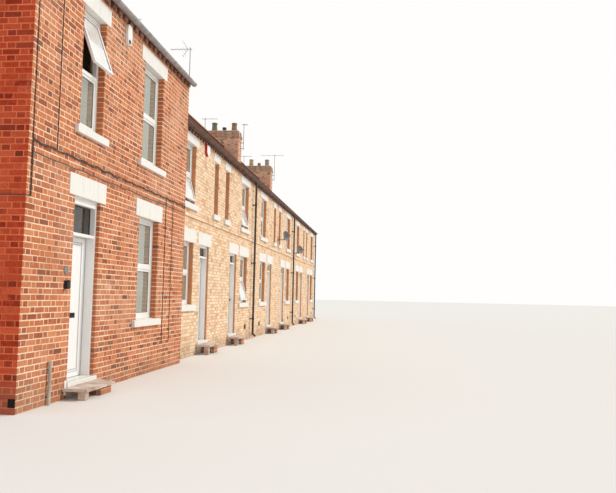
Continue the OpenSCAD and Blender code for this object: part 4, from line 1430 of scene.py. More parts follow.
@dataclass
class Brickwork:
    """All brick faces and their mortar."""

    finishes: Finishes
    recess: float = 0.0025
    string_z: float = 3.140
    string_out: float = 0.035
    past: float = 0.1
    turned: float = 0.17
    return_z: float = 4.9
    under_roof: float = 0.05
    roof_gap: float = 0.002
    dentil_half: float = 0.056
    dentil_step: float = 0.230
    stretcher: float = 0.225
    header: float = 0.1125
    least: float = 0.02
    half_joint: float = 0.003
    sunk: float = 0.002
    shade: float = 0.6
    cap_edge: float = 0.055
    cap_in: float = 0.01
    cap_h: float = 0.04
    cap_rim: float = 0.014

    def __post_init__(self) -> None:
        """Models the two kinds of brick, with rounded and with plain edges."""
        self.fine = Master.brick(True)
        self.plain = Master.brick(False)

    @staticmethod
    def holes(windows: list[WindowSpec], doors: list[DoorSpec]) -> list[Hole]:
        """Openings, lintels and sills that the bricks stop at.

        Args:
            windows: windows of the face.
            doors: its doors.

        Returns:
            Left, right, foot and top of each.
        """
        s, found = SITE, []
        for w in windows:
            reach = w.w / 2 + w.past
            foot = w.sill - s.sill_drop
            found.append((w.x - w.w / 2, w.x + w.w / 2, foot, w.head))
            found.append((w.x - reach, w.x + reach, w.head, w.head + w.lintel_h))
            found.append((w.x - reach, w.x + reach, foot - w.sill_h, foot))
        for d in doors:
            half = s.door_w / 2
            found.append((d.x - half, d.x + half, 0.0, d.head))
            found.append((d.x - half - s.door_past, d.x + half + s.door_past, d.head, d.head + s.door_lintel))
        return found

    def wall_core(
        self, name: str, span: Span, face_y: float, plate: float, windows: list[WindowSpec],
        doors: list[DoorSpec], finish: Finish, nodes: tuple[str, ...], rear: bool = False,
    ) -> None:
        """Mortar body of a front or rear wall, cut to the roof's slope and plastered on the room side.

        Args:
            name: the object's name.
            span: left and right end.
            face_y: place of the street face, also for the rear wall of the same house.
            plate: height at which the roof meets the outer face.
            windows: windows cut through it.
            doors: doorways cut through it.
            finish: the mortar's material.
            nodes: the solids that it stands for.
            rear: makes the wall at the back of the house.
        """
        s, grow = SITE, self.recess
        outer, inward = (s.back, -1) if rear else (face_y, 1)
        top = plate + s.wall * s.rise
        piece = Bench.box(span, (outer + inward * grow, outer + inward * s.wall), (0, top), name)
        normal = (0, -inward * math.sin(s.pitch), math.cos(s.pitch))
        Bench.trim(piece, s.put(0, outer, plate - self.roof_gap), normal)
        wide = [(w.x, w.w / 2 + grow, w.sill, w.head + grow, s.wall + self.past) for w in windows]
        wide += [(d.x, s.door_w / 2 + grow, -self.past, d.head + grow, s.wall + self.past) for d in doors]
        seats = [(w.x, w.w / 2 + grow, w.sill - 0.04, w.sill + 0.01, s.reveal) for w in windows]
        for group in (wide, seats):
            cutters = []
            for x, half, low, high, deep in group:
                reach = (outer - inward * self.past, outer + inward * deep)
                cutters.append(Bench.box((x - half, x + half), reach, (low, high), "cutter"))
            if cutters:
                Bench.cut(piece, Bench.join(cutters, "cutter"))
        Bench.coat(piece, finish, self.finishes.plaster, self.finishes.gable_mortar_painted_shade)
        for face in piece.data.polygons:
            face.material_index = 0
            if face.normal.y * inward > ALONG:
                face.material_index = 1
            elif span[0] < self.past and face.normal.x < -ALONG and face.center.x < s.put(self.past, 0, 0).x:
                face.material_index = 2
        Bench.hand_over(piece, None, "brick", nodes)

    def cross_core(
        self, name: str, x: Span, plate: float, face_y: float, seated: bool,
        finishes: tuple[Finish, Finish], node: str,
    ) -> None:
        """Mortar body of a cross wall between the front and the rear wall, cut to the two roof slopes.

        Args:
            name: the object's name.
            x: left and right side.
            plate: height at which the roof meets the front face.
            face_y: place of that front face.
            seated: leaves the room that a stack takes.
            finishes: mortar on the left side, and on the right side.
            node: the solid that it stands for.
        """
        s = SITE
        ridge = (face_y + s.back) / 2
        top = plate + (ridge - face_y) * s.rise
        piece = Bench.box(x, (face_y + s.wall, s.back - s.wall), (0, top), name)
        for side in (-1, 1):
            normal = (0, side * math.sin(s.pitch), math.cos(s.pitch))
            Bench.trim(piece, s.put(0, ridge, top - self.roof_gap), normal)
        if seated:
            half = s.stack_d / 2
            room = (s.seat(top + s.roof_v), top + self.past)
            slot = Bench.box((x[0] - self.past, x[1] + self.past), (ridge - half, ridge + half), room)
            Bench.cut(piece, slot)
        Bench.coat(piece, *finishes)
        for face in piece.data.polygons:
            face.material_index = 1 if face.normal.x > 0.5 else 0
        Bench.hand_over(piece, None, "brick", (node,))

    def face(self, wall: BrickFace, finish: Finish, fine: bool = False) -> None:
        """Lays one face and hands it over."""
        rows = wall.lay(SITE.course)
        Bench.hand_over(wall.build(self.fine if fine else self.plain, rows, wall.name), finish, "brick")

    @staticmethod
    def seat_hole(ridge: Span) -> Hole:
        """Room that a stack's own bricks take in a cross wall's face."""
        y, z = ridge
        return y - SITE.stack_d / 2, y + SITE.stack_d / 2, SITE.seat(z), z

    def build(self) -> None:
        """Builds every wall, gable, eaves course, string course and stack."""
        self._end_house()
        self._row()
        self._eaves()
        self._string()
        self._stacks()

    def _end_house(self) -> None:
        """Walls of the tall house."""
        f, s, r = self.finishes, SITE, self.recess
        both = (True, True)
        windows, doors = s.end_windows(), s.doors()[:1]
        rear = [w for w in windows if w.wide]
        span, plate, head = (r, s.end_w - r), s.end_plate, s.end_plate - self.under_roof
        nodes = ("end_front_wall_left", "end_front_wall_right", "end_front_wall_upper")
        self.wall_core("end_front_mortar", span, 0.0, plate, windows, doors, f.mortar, nodes)
        self.wall_core("end_rear_mortar", span, 0.0, plate, rear, [], f.mortar, ("end_rear_wall",), True)
        self.face(BrickFace("end_front_bricks", Facing.STREET, 0.0, 0.0, s.end_w, 0.0, head,
                            self.holes(windows, doors), seed=3, mitred=both), f.brick, True)
        self.face(BrickFace("end_rear_bricks", Facing.REAR, s.back, 0.0, s.end_w, 0.0, head,
                            self.holes(rear, []), seed=4, mitred=both), f.brick)
        self.cross_core("end_gable_mortar", (r, s.wall), plate, 0.0, False, (f.gable_mortar_painted_shade, f.plaster),
                        "end_gable_wall")
        top = s.end_ridge[1]
        slope = (0.0, s.back, plate)
        self.face(BrickFace("end_gable_bricks", Facing.LEFT, 0.0, 0.0, s.back, 0.0, top, slope=slope,
                            shift=self.turned, seed=5, mitred=both), f.gable_brick_painted_shade, True)
        self.cross_core("end_party_mortar", (s.end_w - s.wall, s.end_w - r), plate, 0.0, True,
                        (f.plaster, f.mortar), "end_party_wall")
        self.face(BrickFace("end_party_bricks", Facing.RIGHT, s.end_w, 0.0, s.back, self.return_z, top,
                            [self.seat_hole(s.end_ridge)], slope, seed=6, mitred=both), f.brick)
        self.face(BrickFace("end_return_bricks", Facing.RIGHT, s.end_w, 0.0, s.setback, 0.0, self.return_z,
                            seed=7, mitred=(True, False)), f.brick)

    def _row(self) -> None:
        """Walls of the lower houses."""
        f, s, r = self.finishes, SITE, self.recess
        windows, doors = s.row_windows(), s.doors()[1:]
        rear = [w for w in windows if w.wide]
        span, plate, head = (s.end_w, s.total - r), s.row_plate, s.row_plate - self.under_roof
        nodes = ("row_front_wall_lower", "row_front_wall_upper")
        mortar = f.row_mortar_painted_shade
        self.wall_core("row_front_mortar", span, s.setback, plate, windows, doors, mortar, nodes)
        self.wall_core("row_rear_mortar", span, s.setback, plate, rear, [], mortar, ("row_rear_wall",), True)
        for name, facing, plane, holes, seed in (
            ("row_front_bricks", Facing.STREET, s.setback, self.holes(windows, doors), 8),
            ("row_rear_bricks", Facing.REAR, s.back, self.holes(rear, []), 9),
        ):
            self.face(BrickFace(name, facing, plane, s.end_w, s.total, 0.0, head, holes, seed=seed,
                                mitred=(False, True)), f.row_brick_painted_sun)
        self.cross_core("row_end_mortar", (s.total - s.wall, s.total - r), plate, s.setback, True,
                        (f.plaster, mortar), "row_end_wall")
        self.face(BrickFace("row_end_bricks", Facing.RIGHT, s.total, s.setback, s.back, 0.0, s.row_ridge[1],
                            [self.seat_hole(s.row_ridge)], (s.setback, s.back, plate), self.turned, 10,
                            (True, True)), f.row_brick_painted_sun)

    def _eaves(self) -> None:
        """Corbel courses with their dentils."""
        s, half, step = SITE, self.dentil_half, self.dentil_step
        parts, bed = [], []
        for facing, plane, x0, x1, plate, seed in (
            (Facing.STREET, 0.0, 0.0, s.end_w, s.end_plate, 21),
            (Facing.STREET, s.setback, s.end_w, s.total, s.row_plate, 22),
            (Facing.REAR, s.back, 0.0, s.end_w, s.end_plate, 23),
            (Facing.REAR, s.back, s.end_w, s.total, s.row_plate, 24),
        ):
            away = -1 if facing is Facing.STREET else 1
            out = plane + away * s.dentil_out
            rng = np.random.default_rng(seed)
            top = plate - s.dentil_out * s.rise
            rows: Rows = []
            u = x0
            while u < x1 - self.least:
                end = min(u + (self.stretcher if rng.random() < 0.5 else self.header), x1)
                tone = (rng.random(), self.shade * rng.random(), rng.random())
                low, high = top - s.course + 2 * self.sunk, top - self.sunk
                rows.append((u + self.half_joint, end - self.half_joint, low, high, high, 0.0, *tone))
                u = end
            count = int((x1 - x0 - 2 * half) // step)
            start = x0 + (x1 - x0 - count * step - 2 * half) / 2
            for i in range(count + 1):
                a = start + i * step
                tone = (rng.random(), self.shade * rng.random(), rng.random())
                low, high = s.dentil_foot(plate), top - s.course
                rows.append((a, a + 2 * half, low, high, high, 0.0, *tone))
            face = BrickFace("eaves", facing, out, x0, x1, 0, 1)
            parts.append(face.build(self.fine, np.array(rows), f"eaves_{seed}"))
            bed.append(Bench.box((x0 + 0.004, x1 - 0.004), (out - away * 0.002, plane - away * 0.02),
                                 (top - s.course + 0.007, top - 0.004)))
        eaves = Bench.join(parts, "eaves_courses")
        Bench.hand_over(eaves, self.finishes.eaves_brick_and_shade, "brick", ("eaves_dentils",))
        Bench.hand_over(Bench.join(bed, "eaves_mortar"), self.finishes.stack_mortar, "brick")

    def _string(self) -> None:
        """Projecting course along the lower houses between their storeys."""
        s = SITE
        low, high, out = self.string_z + 0.001, self.string_z + s.course - 0.001, s.setback - self.string_out
        rng = np.random.default_rng(31)
        rows: Rows = []
        u = s.end_w
        while u < s.total - self.least:
            end = min(u + self.stretcher, s.total)
            tone = (rng.random(), 0.5 * rng.random(), rng.random())
            rows.append((u + 0.004, end - 0.004, low, high, high, 0.001 * rng.random(), *tone))
            u = end
        face = BrickFace("string", Facing.STREET, out, s.end_w, s.total, 0, 1)
        piece = face.build(self.fine, np.array(rows), "string_course_bricks")
        Bench.hand_over(piece, self.finishes.row_brick_painted_sun, "brick", ("string_course",))
        depth, tall = (out + 0.003, s.setback + 0.02), (low + 0.003, high - 0.003)
        bed = Bench.box((s.end_w, s.total - 0.003), depth, tall, "string_mortar")
        Bench.hand_over(bed, self.finishes.row_mortar_painted_shade, "brick")

    def _stacks(self) -> None:
        """Chimney stacks with two oversailing courses and a flaunched top."""
        s, r = SITE, self.recess
        bricks, cores = [], []
        for i, (x, ridge, top) in enumerate(s.stacks):
            y0, y1, x1 = ridge - s.stack_d / 2, ridge + s.stack_d / 2, x + s.stack_w
            low = s.seat(s.end_ridge[1] if i == 0 else s.row_ridge[1])
            for out, za, zb in (
                (0.0, low, top - 4 * s.course), (s.corbel_out, top - 4 * s.course, top - 2 * s.course),
                (0.0, top - 2 * s.course, top),
            ):
                across, deep = (x - out, x1 + out), (y0 - out, y1 + out)
                for facing, plane, side, turn in (
                    (Facing.STREET, y0 - out, across, 0.0), (Facing.REAR, y1 + out, across, 0.0),
                    (Facing.LEFT, x - out, deep, self.turned), (Facing.RIGHT, x1 + out, deep, self.turned),
                ):
                    count = max(1, round((zb - za) / s.course))
                    face = BrickFace("stack", facing, plane, *side, 0.0, count * s.course, shift=turn,
                                     seed=40 + i * 4 + facing.value, mitred=(True, True))
                    rows = face.lay(s.course)
                    rows[:, 2:5] += zb - count * s.course
                    if zb > top - 3 * s.course:
                        rows[:, 8] = 0.92 + 0.08 * rows[:, 8]
                    elif i == 1:
                        rows[:, 8] = 0.84 + 0.16 * rows[:, 8]
                    bricks.append(face.build(self.plain, rows, "stack_part"))
                cores.append(Bench.box((x - out + r, x1 + out - r), (y0 - out + r, y1 + out - r), (za, zb)))
            e = self.cap_in
            cores.append(self._flaunching(s.put(x + e, y0 + e, top), s.put(x1 - e, y1 - e, top + self.cap_h)))
        stacks = Bench.join(bricks, "stack_bricks")
        Bench.hand_over(stacks, self.finishes.stack_brick, "brick", ("chimney_stacks",))
        Bench.hand_over(Bench.join(cores, "stack_mortar"), self.finishes.stack_mortar, "brick")

    def _flaunching(self, low: Vector, high: Vector) -> Piece:
        """Mortar cap that falls to all four sides.

        Args:
            low: lowest corner.
            high: highest corner.

        Returns:
            The new object.
        """
        cap = Bench.block(low, high, "cap")
        Bench.edit_side(cap, (0, 0, 1))
        bpy.ops.mesh.inset(thickness=self.cap_edge, depth=0)
        Bench.leave()
        for vertex in cap.data.vertices:
            c = vertex.co
            inward = min(c.x - low.x, high.x - c.x, c.y - low.y, high.y - c.y)
            if c.z > high.z - SNAP and inward < self.cap_in:
                vertex.co.z = low.z + self.cap_rim
        return cap


# Roofs


@dataclass
class RoofCovering:
    """Decks and laid plain tiles of both roofs."""

    finishes: Finishes
    gauge: float = 0.100
    tile_w: float = 0.165
    tile_l: float = 0.150
    tile_t: float = 0.012
    jitter: float = 0.0022
    deck_drop: float = 0.022
    clear: float = 0.02
    side_gap: float = 0.0015
    last: float = 0.04

    def build(self) -> None:
        """Builds the four slopes."""
        s, edge = SITE, self.clear
        self.master = Master.brick(False, self.tile_w, self.tile_l, self.tile_t)
        cut_end = [(s.end_w - s.stack_w - edge, s.end_w)]
        cut_row = [(x - edge, x + s.stack_w + edge) for x, _, _ in s.stacks[1:]]
        end, row = (-s.verge, s.end_w), (s.end_w, s.total)
        for side, tag in ((1, "front"), (-1, "rear")):
            self._slope(f"end_{tag}", end, 0.0, s.end_plate, side, cut_end, "end_roof", 60)
            self._slope(f"row_{tag}", row, s.setback, s.row_plate, side, cut_row, "row_roof", 61)

    def _slope(
        self, name: str, span: Span, face_y: float, plate: float, side: int, stacks: list[Span],
        node: str, seed: int,
    ) -> None:
        """One slope: a deck with its tiles, kept clear of the stacks.

        Args:
            name: start of the pieces' names.
            span: left and right end.
            face_y: front face under the slope.
            plate: height at which the underside meets that face.
            side: 1 for the street slope and -1 for the rear one.
            stacks: stretches that a stack takes up beside the ridge.
            node: the solid that the decks stand for.
            seed: start of the tone numbers.
        """
        s = SITE
        c, sn = math.cos(s.pitch), math.sin(s.pitch)
        ridge = (face_y + s.back) / 2
        length = (ridge - face_y + s.roof_over) / c
        stack_v = (ridge - s.stack_d / 2 - face_y + s.roof_over) / c
        thick = s.roof_t - self.deck_drop

        def place(u: np.ndarray, v: np.ndarray, n: np.ndarray) -> np.ndarray:
            """Places along, up and out of the slope, in the frame."""
            y = face_y - s.roof_over + v * c - n * sn
            z = plate - s.roof_over * s.rise + v * sn + n * c
            if side < 0:
                y = face_y + s.back - y
            return np.stack([u, y, z], -1) - np.array(s.origin)

        decks = []
        for a, b, v0, v1 in self._decks(span, stacks, stack_v, length):
            deck = Bench.block(Vector((a, v0, 0.0)), Vector((b, v1, thick)), "deck")
            co = np.array([v.co for v in deck.data.vertices])
            for vertex, where in zip(deck.data.vertices, place(co[:, 0], co[:, 1], co[:, 2])):
                vertex.co = where
            if side < 0:
                deck.data.flip_normals()
            decks.append(deck)
        Bench.hand_over(Bench.join(decks, f"{name}_deck"), self.finishes.soffit, "roof_tile",
                        (node,) if side > 0 else ())
        rng = np.random.default_rng(seed + (7 if side < 0 else 0))
        data = self._tiles(span, stacks, stack_v, length, rng)
        m = self.master.points
        right = m[:, 0] > self.tile_w / 2
        u = np.where(right, data[:, 1:2], data[:, 0:1])
        v = np.minimum(data[:, 2:3] + m[:, 1][None, :], length - 0.002)
        lift = self.deck_drop - self.tile_t - self.jitter
        n = thick + (m[:, 2] + lift * (1.0 - m[:, 1] / self.gauge))[None, :] + data[:, 4:5]
        shade = np.repeat(data[:, 3], len(m))
        tones = np.stack([shade, shade, shade, np.ones_like(shade)], -1)
        tiles = self.master.stamp(f"{name}_tiles", place(u, v, n).reshape(-1, 3), tones, side < 0)
        Bench.hand_over(tiles, self.finishes.tile, "roof_tile")

    def _decks(self, span: Span, stacks: list[Span], stack_v: float, length: float) -> list[Hole]:
        """Boards under the tiles: one below the stacks, and one between each two of them.

        Args:
            span: left and right end.
            stacks: stretches taken by stacks.
            stack_v: where those begin.
            length: length of the slope.

        Returns:
            Left, right, foot and head of each.
        """
        found = [(*span, 0.0, stack_v)]
        edge = span[0]
        for a, b in stacks:
            if a + self.clear > edge:
                found.append((edge, a + self.clear, stack_v, length - 0.001))
            edge = b - self.clear
        if edge < span[1] - SNAP:
            found.append((edge, span[1], stack_v, length - 0.001))
        return found

    def _tiles(
        self, span: Span, stacks: list[Span], stack_v: float, length: float, rng: np.random.Generator
    ) -> np.ndarray:
        """Every tile of a slope: left, right, foot, tone and lift.

        Args:
            span: left and right end.
            stacks: stretches taken by stacks.
            stack_v: where those begin.
            length: length of the slope.
            rng: source of tones and lifts.

        Returns:
            A row for each tile.
        """
        rows: Rows = []
        x0, x1 = span
        v = 0.0
        k = 0
        while v < length - self.last:
            u = x0 - (self.tile_w / 2 if k % 2 else 0.0)
            while u < x1 - self.clear / 2:
                a, b = max(u, x0), min(u + self.tile_w, x1)
                u += self.tile_w
                if v + self.gauge > stack_v - self.clear:
                    for p, q in stacks:
                        if p < b < q and a < p:
                            b = p
                        elif p < a < q and b > q:
                            a = q
                        elif a >= p and b <= q:
                            a = b
                if b - a > self.clear:
                    tone = (rng.random(), rng.random() * self.jitter)
                    rows.append((a + self.side_gap, b - self.side_gap, v, *tone))
            v += self.gauge
            k += 1
        return np.array(rows)


# Stone, windows, doors


@dataclass
class PaintedStone:
    """White lintels, sills and thresholds, and the worn steps in front of the doors."""

    finishes: Finishes
    step_l: float = 1.050
    step_out: float = 0.345
    step_t: float = 0.042
    past: float = 0.040
    cut: float = 0.135
    nosing_h: float = 0.064
    nosing_out: float = 0.040
    nosing_past: float = 0.043
    footing_h: float = 0.1
    haunch_x: Span = (-0.495, -0.440)
    haunch_y: Span = (-0.026, 0.0)
    haunch_z: Span = (0.060, 0.250)
    small_w: float = 0.11
    joint: float = 0.003
    dish: float = 0.007

    def build(self) -> None:
        """Builds every stone."""
        s, f = SITE, self.finishes
        self.brick = Master.brick(True)
        lintels, sills, thresholds, steps, piers, cores, doors = [], [], [], [], [], [], []
        for w, face in s.fronts():
            lintels.append(self._lintel(w.x, w.w / 2 + w.past, w.head, w.lintel_h, face))
            sills.append(self._sill(w, face))
            if w.wide:
                for shelf in (lintels, sills):
                    shelf.append(self._to_rear(shelf[-1], w.x, face))
        for d in s.doors():
            half = s.door_w / 2
            doors.append(self._lintel(d.x, half + s.door_past, d.head, s.door_lintel, d.face))
            thresholds.extend(self._threshold(d))
            bricks, core, small = self._piers(d)
            depth = (d.face + 0.006, d.face + s.wall)
            footing = Bench.box((d.x - half, d.x + half), depth, (0, self.footing_h))
            steps += [self._step(d), small, footing]
            piers += bricks
            cores.append(core)
        for parts, name, node in (
            (lintels, "window_lintel_stones", "window_lintels"),
            (doors, "door_lintel_stones", "door_lintels"),
            (sills, "sill_stones", "window_sills"),
            (thresholds, "threshold_stones", "door_thresholds"),
        ):
            Bench.hand_over(Bench.join(parts, name), f.paint, "painted_stone", (node,))
        Bench.hand_over(Bench.join(steps, "step_slabs"), f.stone, "grey_stone", ("door_steps",))
        Bench.hand_over(Bench.join(piers, "step_piers"), f.brick, "brick")
        Bench.hand_over(Bench.join(cores, "pier_mortar"), f.mortar, "brick")

    @staticmethod
    def _to_rear(piece: Piece, x: float, face: float) -> Piece:
        """A copy on the rear face, turned to look the other way.

        Args:
            piece: the stone.
            x: middle of its opening.
            face: its street face.

        Returns:
            The copy.
        """
        middle = SITE.put(x, 0, 0).x
        rear = SITE.put(0, face + SITE.back, 0).y + SITE.put(0, 0, 0).y
        return Bench.copy(piece, Vector((2 * middle, rear, 0)), True)

    @staticmethod
    def _lintel(x: float, half: float, z: float, h: float, face: float) -> Piece:
        """One stone over an opening."""
        piece = Bench.box((x - half, x + half), (face - 0.010, face + 0.100), (z, z + h), "lintel")
        return Bench.soften(piece, 0.006)

    @staticmethod
    def _sill(w: WindowSpec, face: float) -> Piece:
        """One sloping stone under a window.

        Args:
            w: the window.
            face: its street face.

        Returns:
            The new object.
        """
        s, half = SITE, w.w / 2 + w.past
        low = s.put(w.x - half, face - s.sill_out, w.sill - s.sill_drop - w.sill_h)
        high = s.put(w.x + half, face + s.reveal, w.sill)
        piece = Bench.block(low, high, "sill")
        Bench.edit("VERT")
        bpy.ops.mesh.select_all(action="DESELECT")
        Bench.leave()
        for vertex in piece.data.vertices:
            vertex.select = vertex.co.z > high.z - SNAP and vertex.co.y < low.y + SNAP
        bpy.ops.object.mode_set(mode="EDIT")
        bpy.ops.transform.translate(value=(0, 0, -s.sill_drop))
        Bench.leave()
        return Bench.soften(piece, 0.007)

    def _threshold(self, d: DoorSpec) -> list[Piece]:
        """Painted nosing in front of a doorway and the block under the frame.

        Args:
            d: the door.

        Returns:
            The stones.
        """
        half, top = SITE.door_w / 2, d.top
        reach, depth = half + self.nosing_past, (d.face - self.nosing_out, d.face + 0.02)
        nosing = Bench.box((d.x - reach, d.x + reach), depth, (top - self.nosing_h, top))
        found = [Bench.soften(nosing, 0.008)]
        depth = (d.face + 0.004, d.face + SITE.wall)
        found.append(Bench.box((d.x - half, d.x + half), depth, (self.footing_h, top)))
        if d.face == 0.0:
            (a, b), (c, e), (low_z, high_z) = self.haunch_x, self.haunch_y, self.haunch_z
            low, high = SITE.put(d.x + a, c, low_z), SITE.put(d.x + b, e, high_z)
            haunch = Bench.block(low, high, "haunch")
            for vertex in haunch.data.vertices:
                if vertex.co.z > high.z - SNAP and vertex.co.y < high.y - 0.01:
                    vertex.co.y += 0.016
                elif vertex.co.z < low.z + SNAP and vertex.co.x > high.x - 0.01:
                    vertex.co.x -= 0.025
            found.append(Bench.soften(haunch, 0.007))
        return found

    def _step(self, d: DoorSpec) -> Piece:
        """Worn slab with one cut corner, rounded edges and a slightly dished top.

        Args:
            d: the door.

        Returns:
            The new object.
        """
        top = d.top - self.nosing_h
        half = self.step_l / 2
        low = SITE.put(d.x - half, d.face - self.step_out, top - self.step_t)
        high = SITE.put(d.x + half, d.face, top)
        piece = Bench.block(low, high, "slab")
        Bench.edit("FACE")
        bpy.ops.mesh.subdivide(number_cuts=11)
        Bench.leave()
        rng = np.random.default_rng(int(d.x * 100))
        for vertex in piece.data.vertices:
            u = (vertex.co.x - low.x) / (high.x - low.x) * 2 - 1
            v = (vertex.co.y - low.y) / (high.y - low.y)
            if vertex.co.z > high.z - SNAP:
                vertex.co.z -= self.dish * max(0.0, 1 - u * u) * max(0.0, 1 - v) + 0.0015 * rng.random()
            elif v < SNAP:
                vertex.co.y += 0.004 * rng.random()
        Bench.trim(piece, Vector((high.x - self.cut, low.y, 0)), (2 * self.cut, -self.cut, 0))
        return Bench.soften(piece, 0.006)

    def _piers(self, d: DoorSpec) -> tuple[list[Piece], Piece, Piece]:
        """Brick pier under the wide end of a slab, its mortar, and the small stone under the other end.

        Args:
            d: the door.

        Returns:
            The brick parts, the mortar and the small stone.
        """
        top = d.top - self.nosing_h - self.step_t
        left, front = d.x - self.step_l / 2 + self.past, d.face - self.step_out + self.past
        x0, x1 = d.x, d.x + self.step_l / 2 - self.past - self.cut
        bricks = []
        for facing, plane, u0, u1, ends in (
            (Facing.STREET, front, x0, x1, (True, True)), (Facing.LEFT, x0, front, d.face, (True, False)),
            (Facing.RIGHT, x1, front, d.face, (True, False)),
        ):
            wall = BrickFace("pier", facing, plane, u0, u1, 0.0, top, seed=70 + facing.value, mitred=ends)
            bricks.append(wall.build(self.brick, wall.lay(SITE.course), "pier_part"))
        core = Bench.box((x0 + self.joint, x1 - self.joint), (front + self.joint, d.face), (0, top))
        small = Bench.box((left, left + self.small_w), (front, front + self.small_w), (0, top))
        return bricks, core, Bench.soften(small, 0.010)


class Light(Enum):
    """The two lights of a window."""

    UPPER = 1
    LOWER = -1


@dataclass
class Windows:
    """White framed windows with sashes, seals and glass."""

    finishes: Finishes
    bar: float = 0.055
    depth: float = 0.070
    sash: float = 0.042
    sash_t: float = 0.045
    closed_y: float = 0.012
    open_y: float = 0.006
    frame_round: float = 0.005
    sash_round: float = 0.006
    seal_w: float = 0.006
    seal_y: Span = (0.010, 0.032)
    pane_y: Span = (0.014, 0.020)
    ground_share: float = 0.51
    upper_share: float = 0.49
    storey_z: float = 3.0
    end_swing: float = math.radians(20)
    row_swing: float = math.radians(14)

    def build(self) -> None:
        """Builds each kind of window once and sets its copies."""
        f = self.finishes
        frames, seals, panes = [], [], []
        made: dict[tuple, tuple[Piece, ...]] = {}
        for w, face in SITE.fronts():
            for rear in (False, True):
                if rear and not w.wide:
                    continue
                share = self.upper_share if w.sill > self.storey_z else self.ground_share
                swing = self.end_swing if face == 0.0 else self.row_swing
                key = (w.w, round(w.head - w.sill, 4), share, 0 if rear else w.opened, swing)
                if key not in made:
                    made[key] = self._unit(*key)
                y = face + SITE.reveal
                at = SITE.put(w.x, face + SITE.back - y if rear else y, w.sill)
                for source, shelf in zip(made[key], (frames, seals, panes)):
                    shelf.append(Bench.copy(source, at, rear))
        for unit in made.values():
            for piece in unit:
                bpy.data.objects.remove(piece)
        nodes = ("window_frames", "open_lights")
        Bench.hand_over(Bench.join(frames, "frames_and_sashes"), f.white, "white_plastic", nodes)
        Bench.hand_over(Bench.join(seals, "glazing_seals"), f.gasket, "black_plastic")
        glass = Bench.hand_over(Bench.join(panes, "window_panes"), None, "glass", ("window_glass",))
        glass.visible_shadow = False

    @staticmethod
    def ring(w: float, z: Span, bar: float, y: Span) -> Piece:
        """A rectangular frame made by insetting and extruding a plane, standing upright.

        Args:
            w: outer width.
            z: foot and top.
            bar: width of its bars.
            y: front and back.

        Returns:
            The new object.
        """
        Bench.clear()
        bpy.ops.mesh.primitive_plane_add(size=1.0, location=(0, 0, 0))
        piece = bpy.context.object
        piece.scale = (w, z[1] - z[0], 1)
        piece.rotation_euler = (math.pi / 2, 0, 0)
        piece.location = (0, y[0], (z[0] + z[1]) / 2)
        Bench.fix_place(piece)
        Bench.edit("FACE")
        bpy.ops.mesh.inset(thickness=bar, depth=0)
        bpy.ops.mesh.delete(type="FACE")
        bpy.ops.mesh.select_all(action="SELECT")
        Bench.draw(y=y[1] - y[0])
        return Bench.leave(True)

    def _unit(self, w: float, h: float, share: float, opened: int, swing: float) -> tuple[Piece, ...]:
        """One window about its sill's middle, with its front at zero.

        Args:
            w: width.
            h: height.
            share: how much of its height lies under the middle bar.
            opened: 1 where the upper light is open, -1 where the lower one is, and otherwise 0.
            swing: how far an open light stands.

        Returns:
            The frames, the seals and the panes.
        """
        bar, rim, middle = self.bar, self.sash, h * share
        wide = w - 2 * bar
        cross = (middle - bar / 2, middle + bar / 2)
        deep = (0, self.depth)
        frames = [self.ring(w, (0, h), bar, deep), self._slab(wide, cross, deep, "cross")]
        frames = [Bench.soften(f, self.frame_round) for f in frames]
        seals, panes = [], []
        for light in Light:
            z0, z1 = (cross[1], h - bar) if light is Light.UPPER else (bar, cross[0])
            is_open = opened == light.value
            y0 = self.open_y if is_open else self.closed_y
            inner, pane_z = wide - 2 * rim, (z0 + rim, z1 - rim)
            seal_y, pane_y = [(y0 + a, y0 + b) for a, b in (self.seal_y, self.pane_y)]
            sash = Bench.soften(self.ring(wide, (z0, z1), rim, (y0, y0 + self.sash_t)), self.sash_round)
            seal = self.ring(inner, pane_z, self.seal_w, seal_y)
            pane = self._slab(inner, pane_z, pane_y, "pane")
            Bench.coat(pane, self.finishes.open_glass_painted_reflection if is_open else self.finishes.glass)
            if is_open:
                turn = Matrix.Rotation(-swing, 4, "X") @ Matrix.Translation((0, -y0, -z1))
                for part in (sash, seal, pane):
                    Bench.shift(part, Vector((0, y0, z1)), turn)
            frames.append(sash)
            seals.append(seal)
            panes.append(pane)
        sets = ((frames, "unit_frame"), (seals, "unit_seal"), (panes, "unit_pane"))
        return tuple(Bench.join(parts, name) for parts, name in sets)

    @staticmethod
    def _slab(w: float, z: Span, y: Span, name: str) -> Piece:
        """A block about the window's middle."""
        return Bench.block(Vector((-w / 2, y[0], z[0])), Vector((w / 2, y[1], z[1])), name)


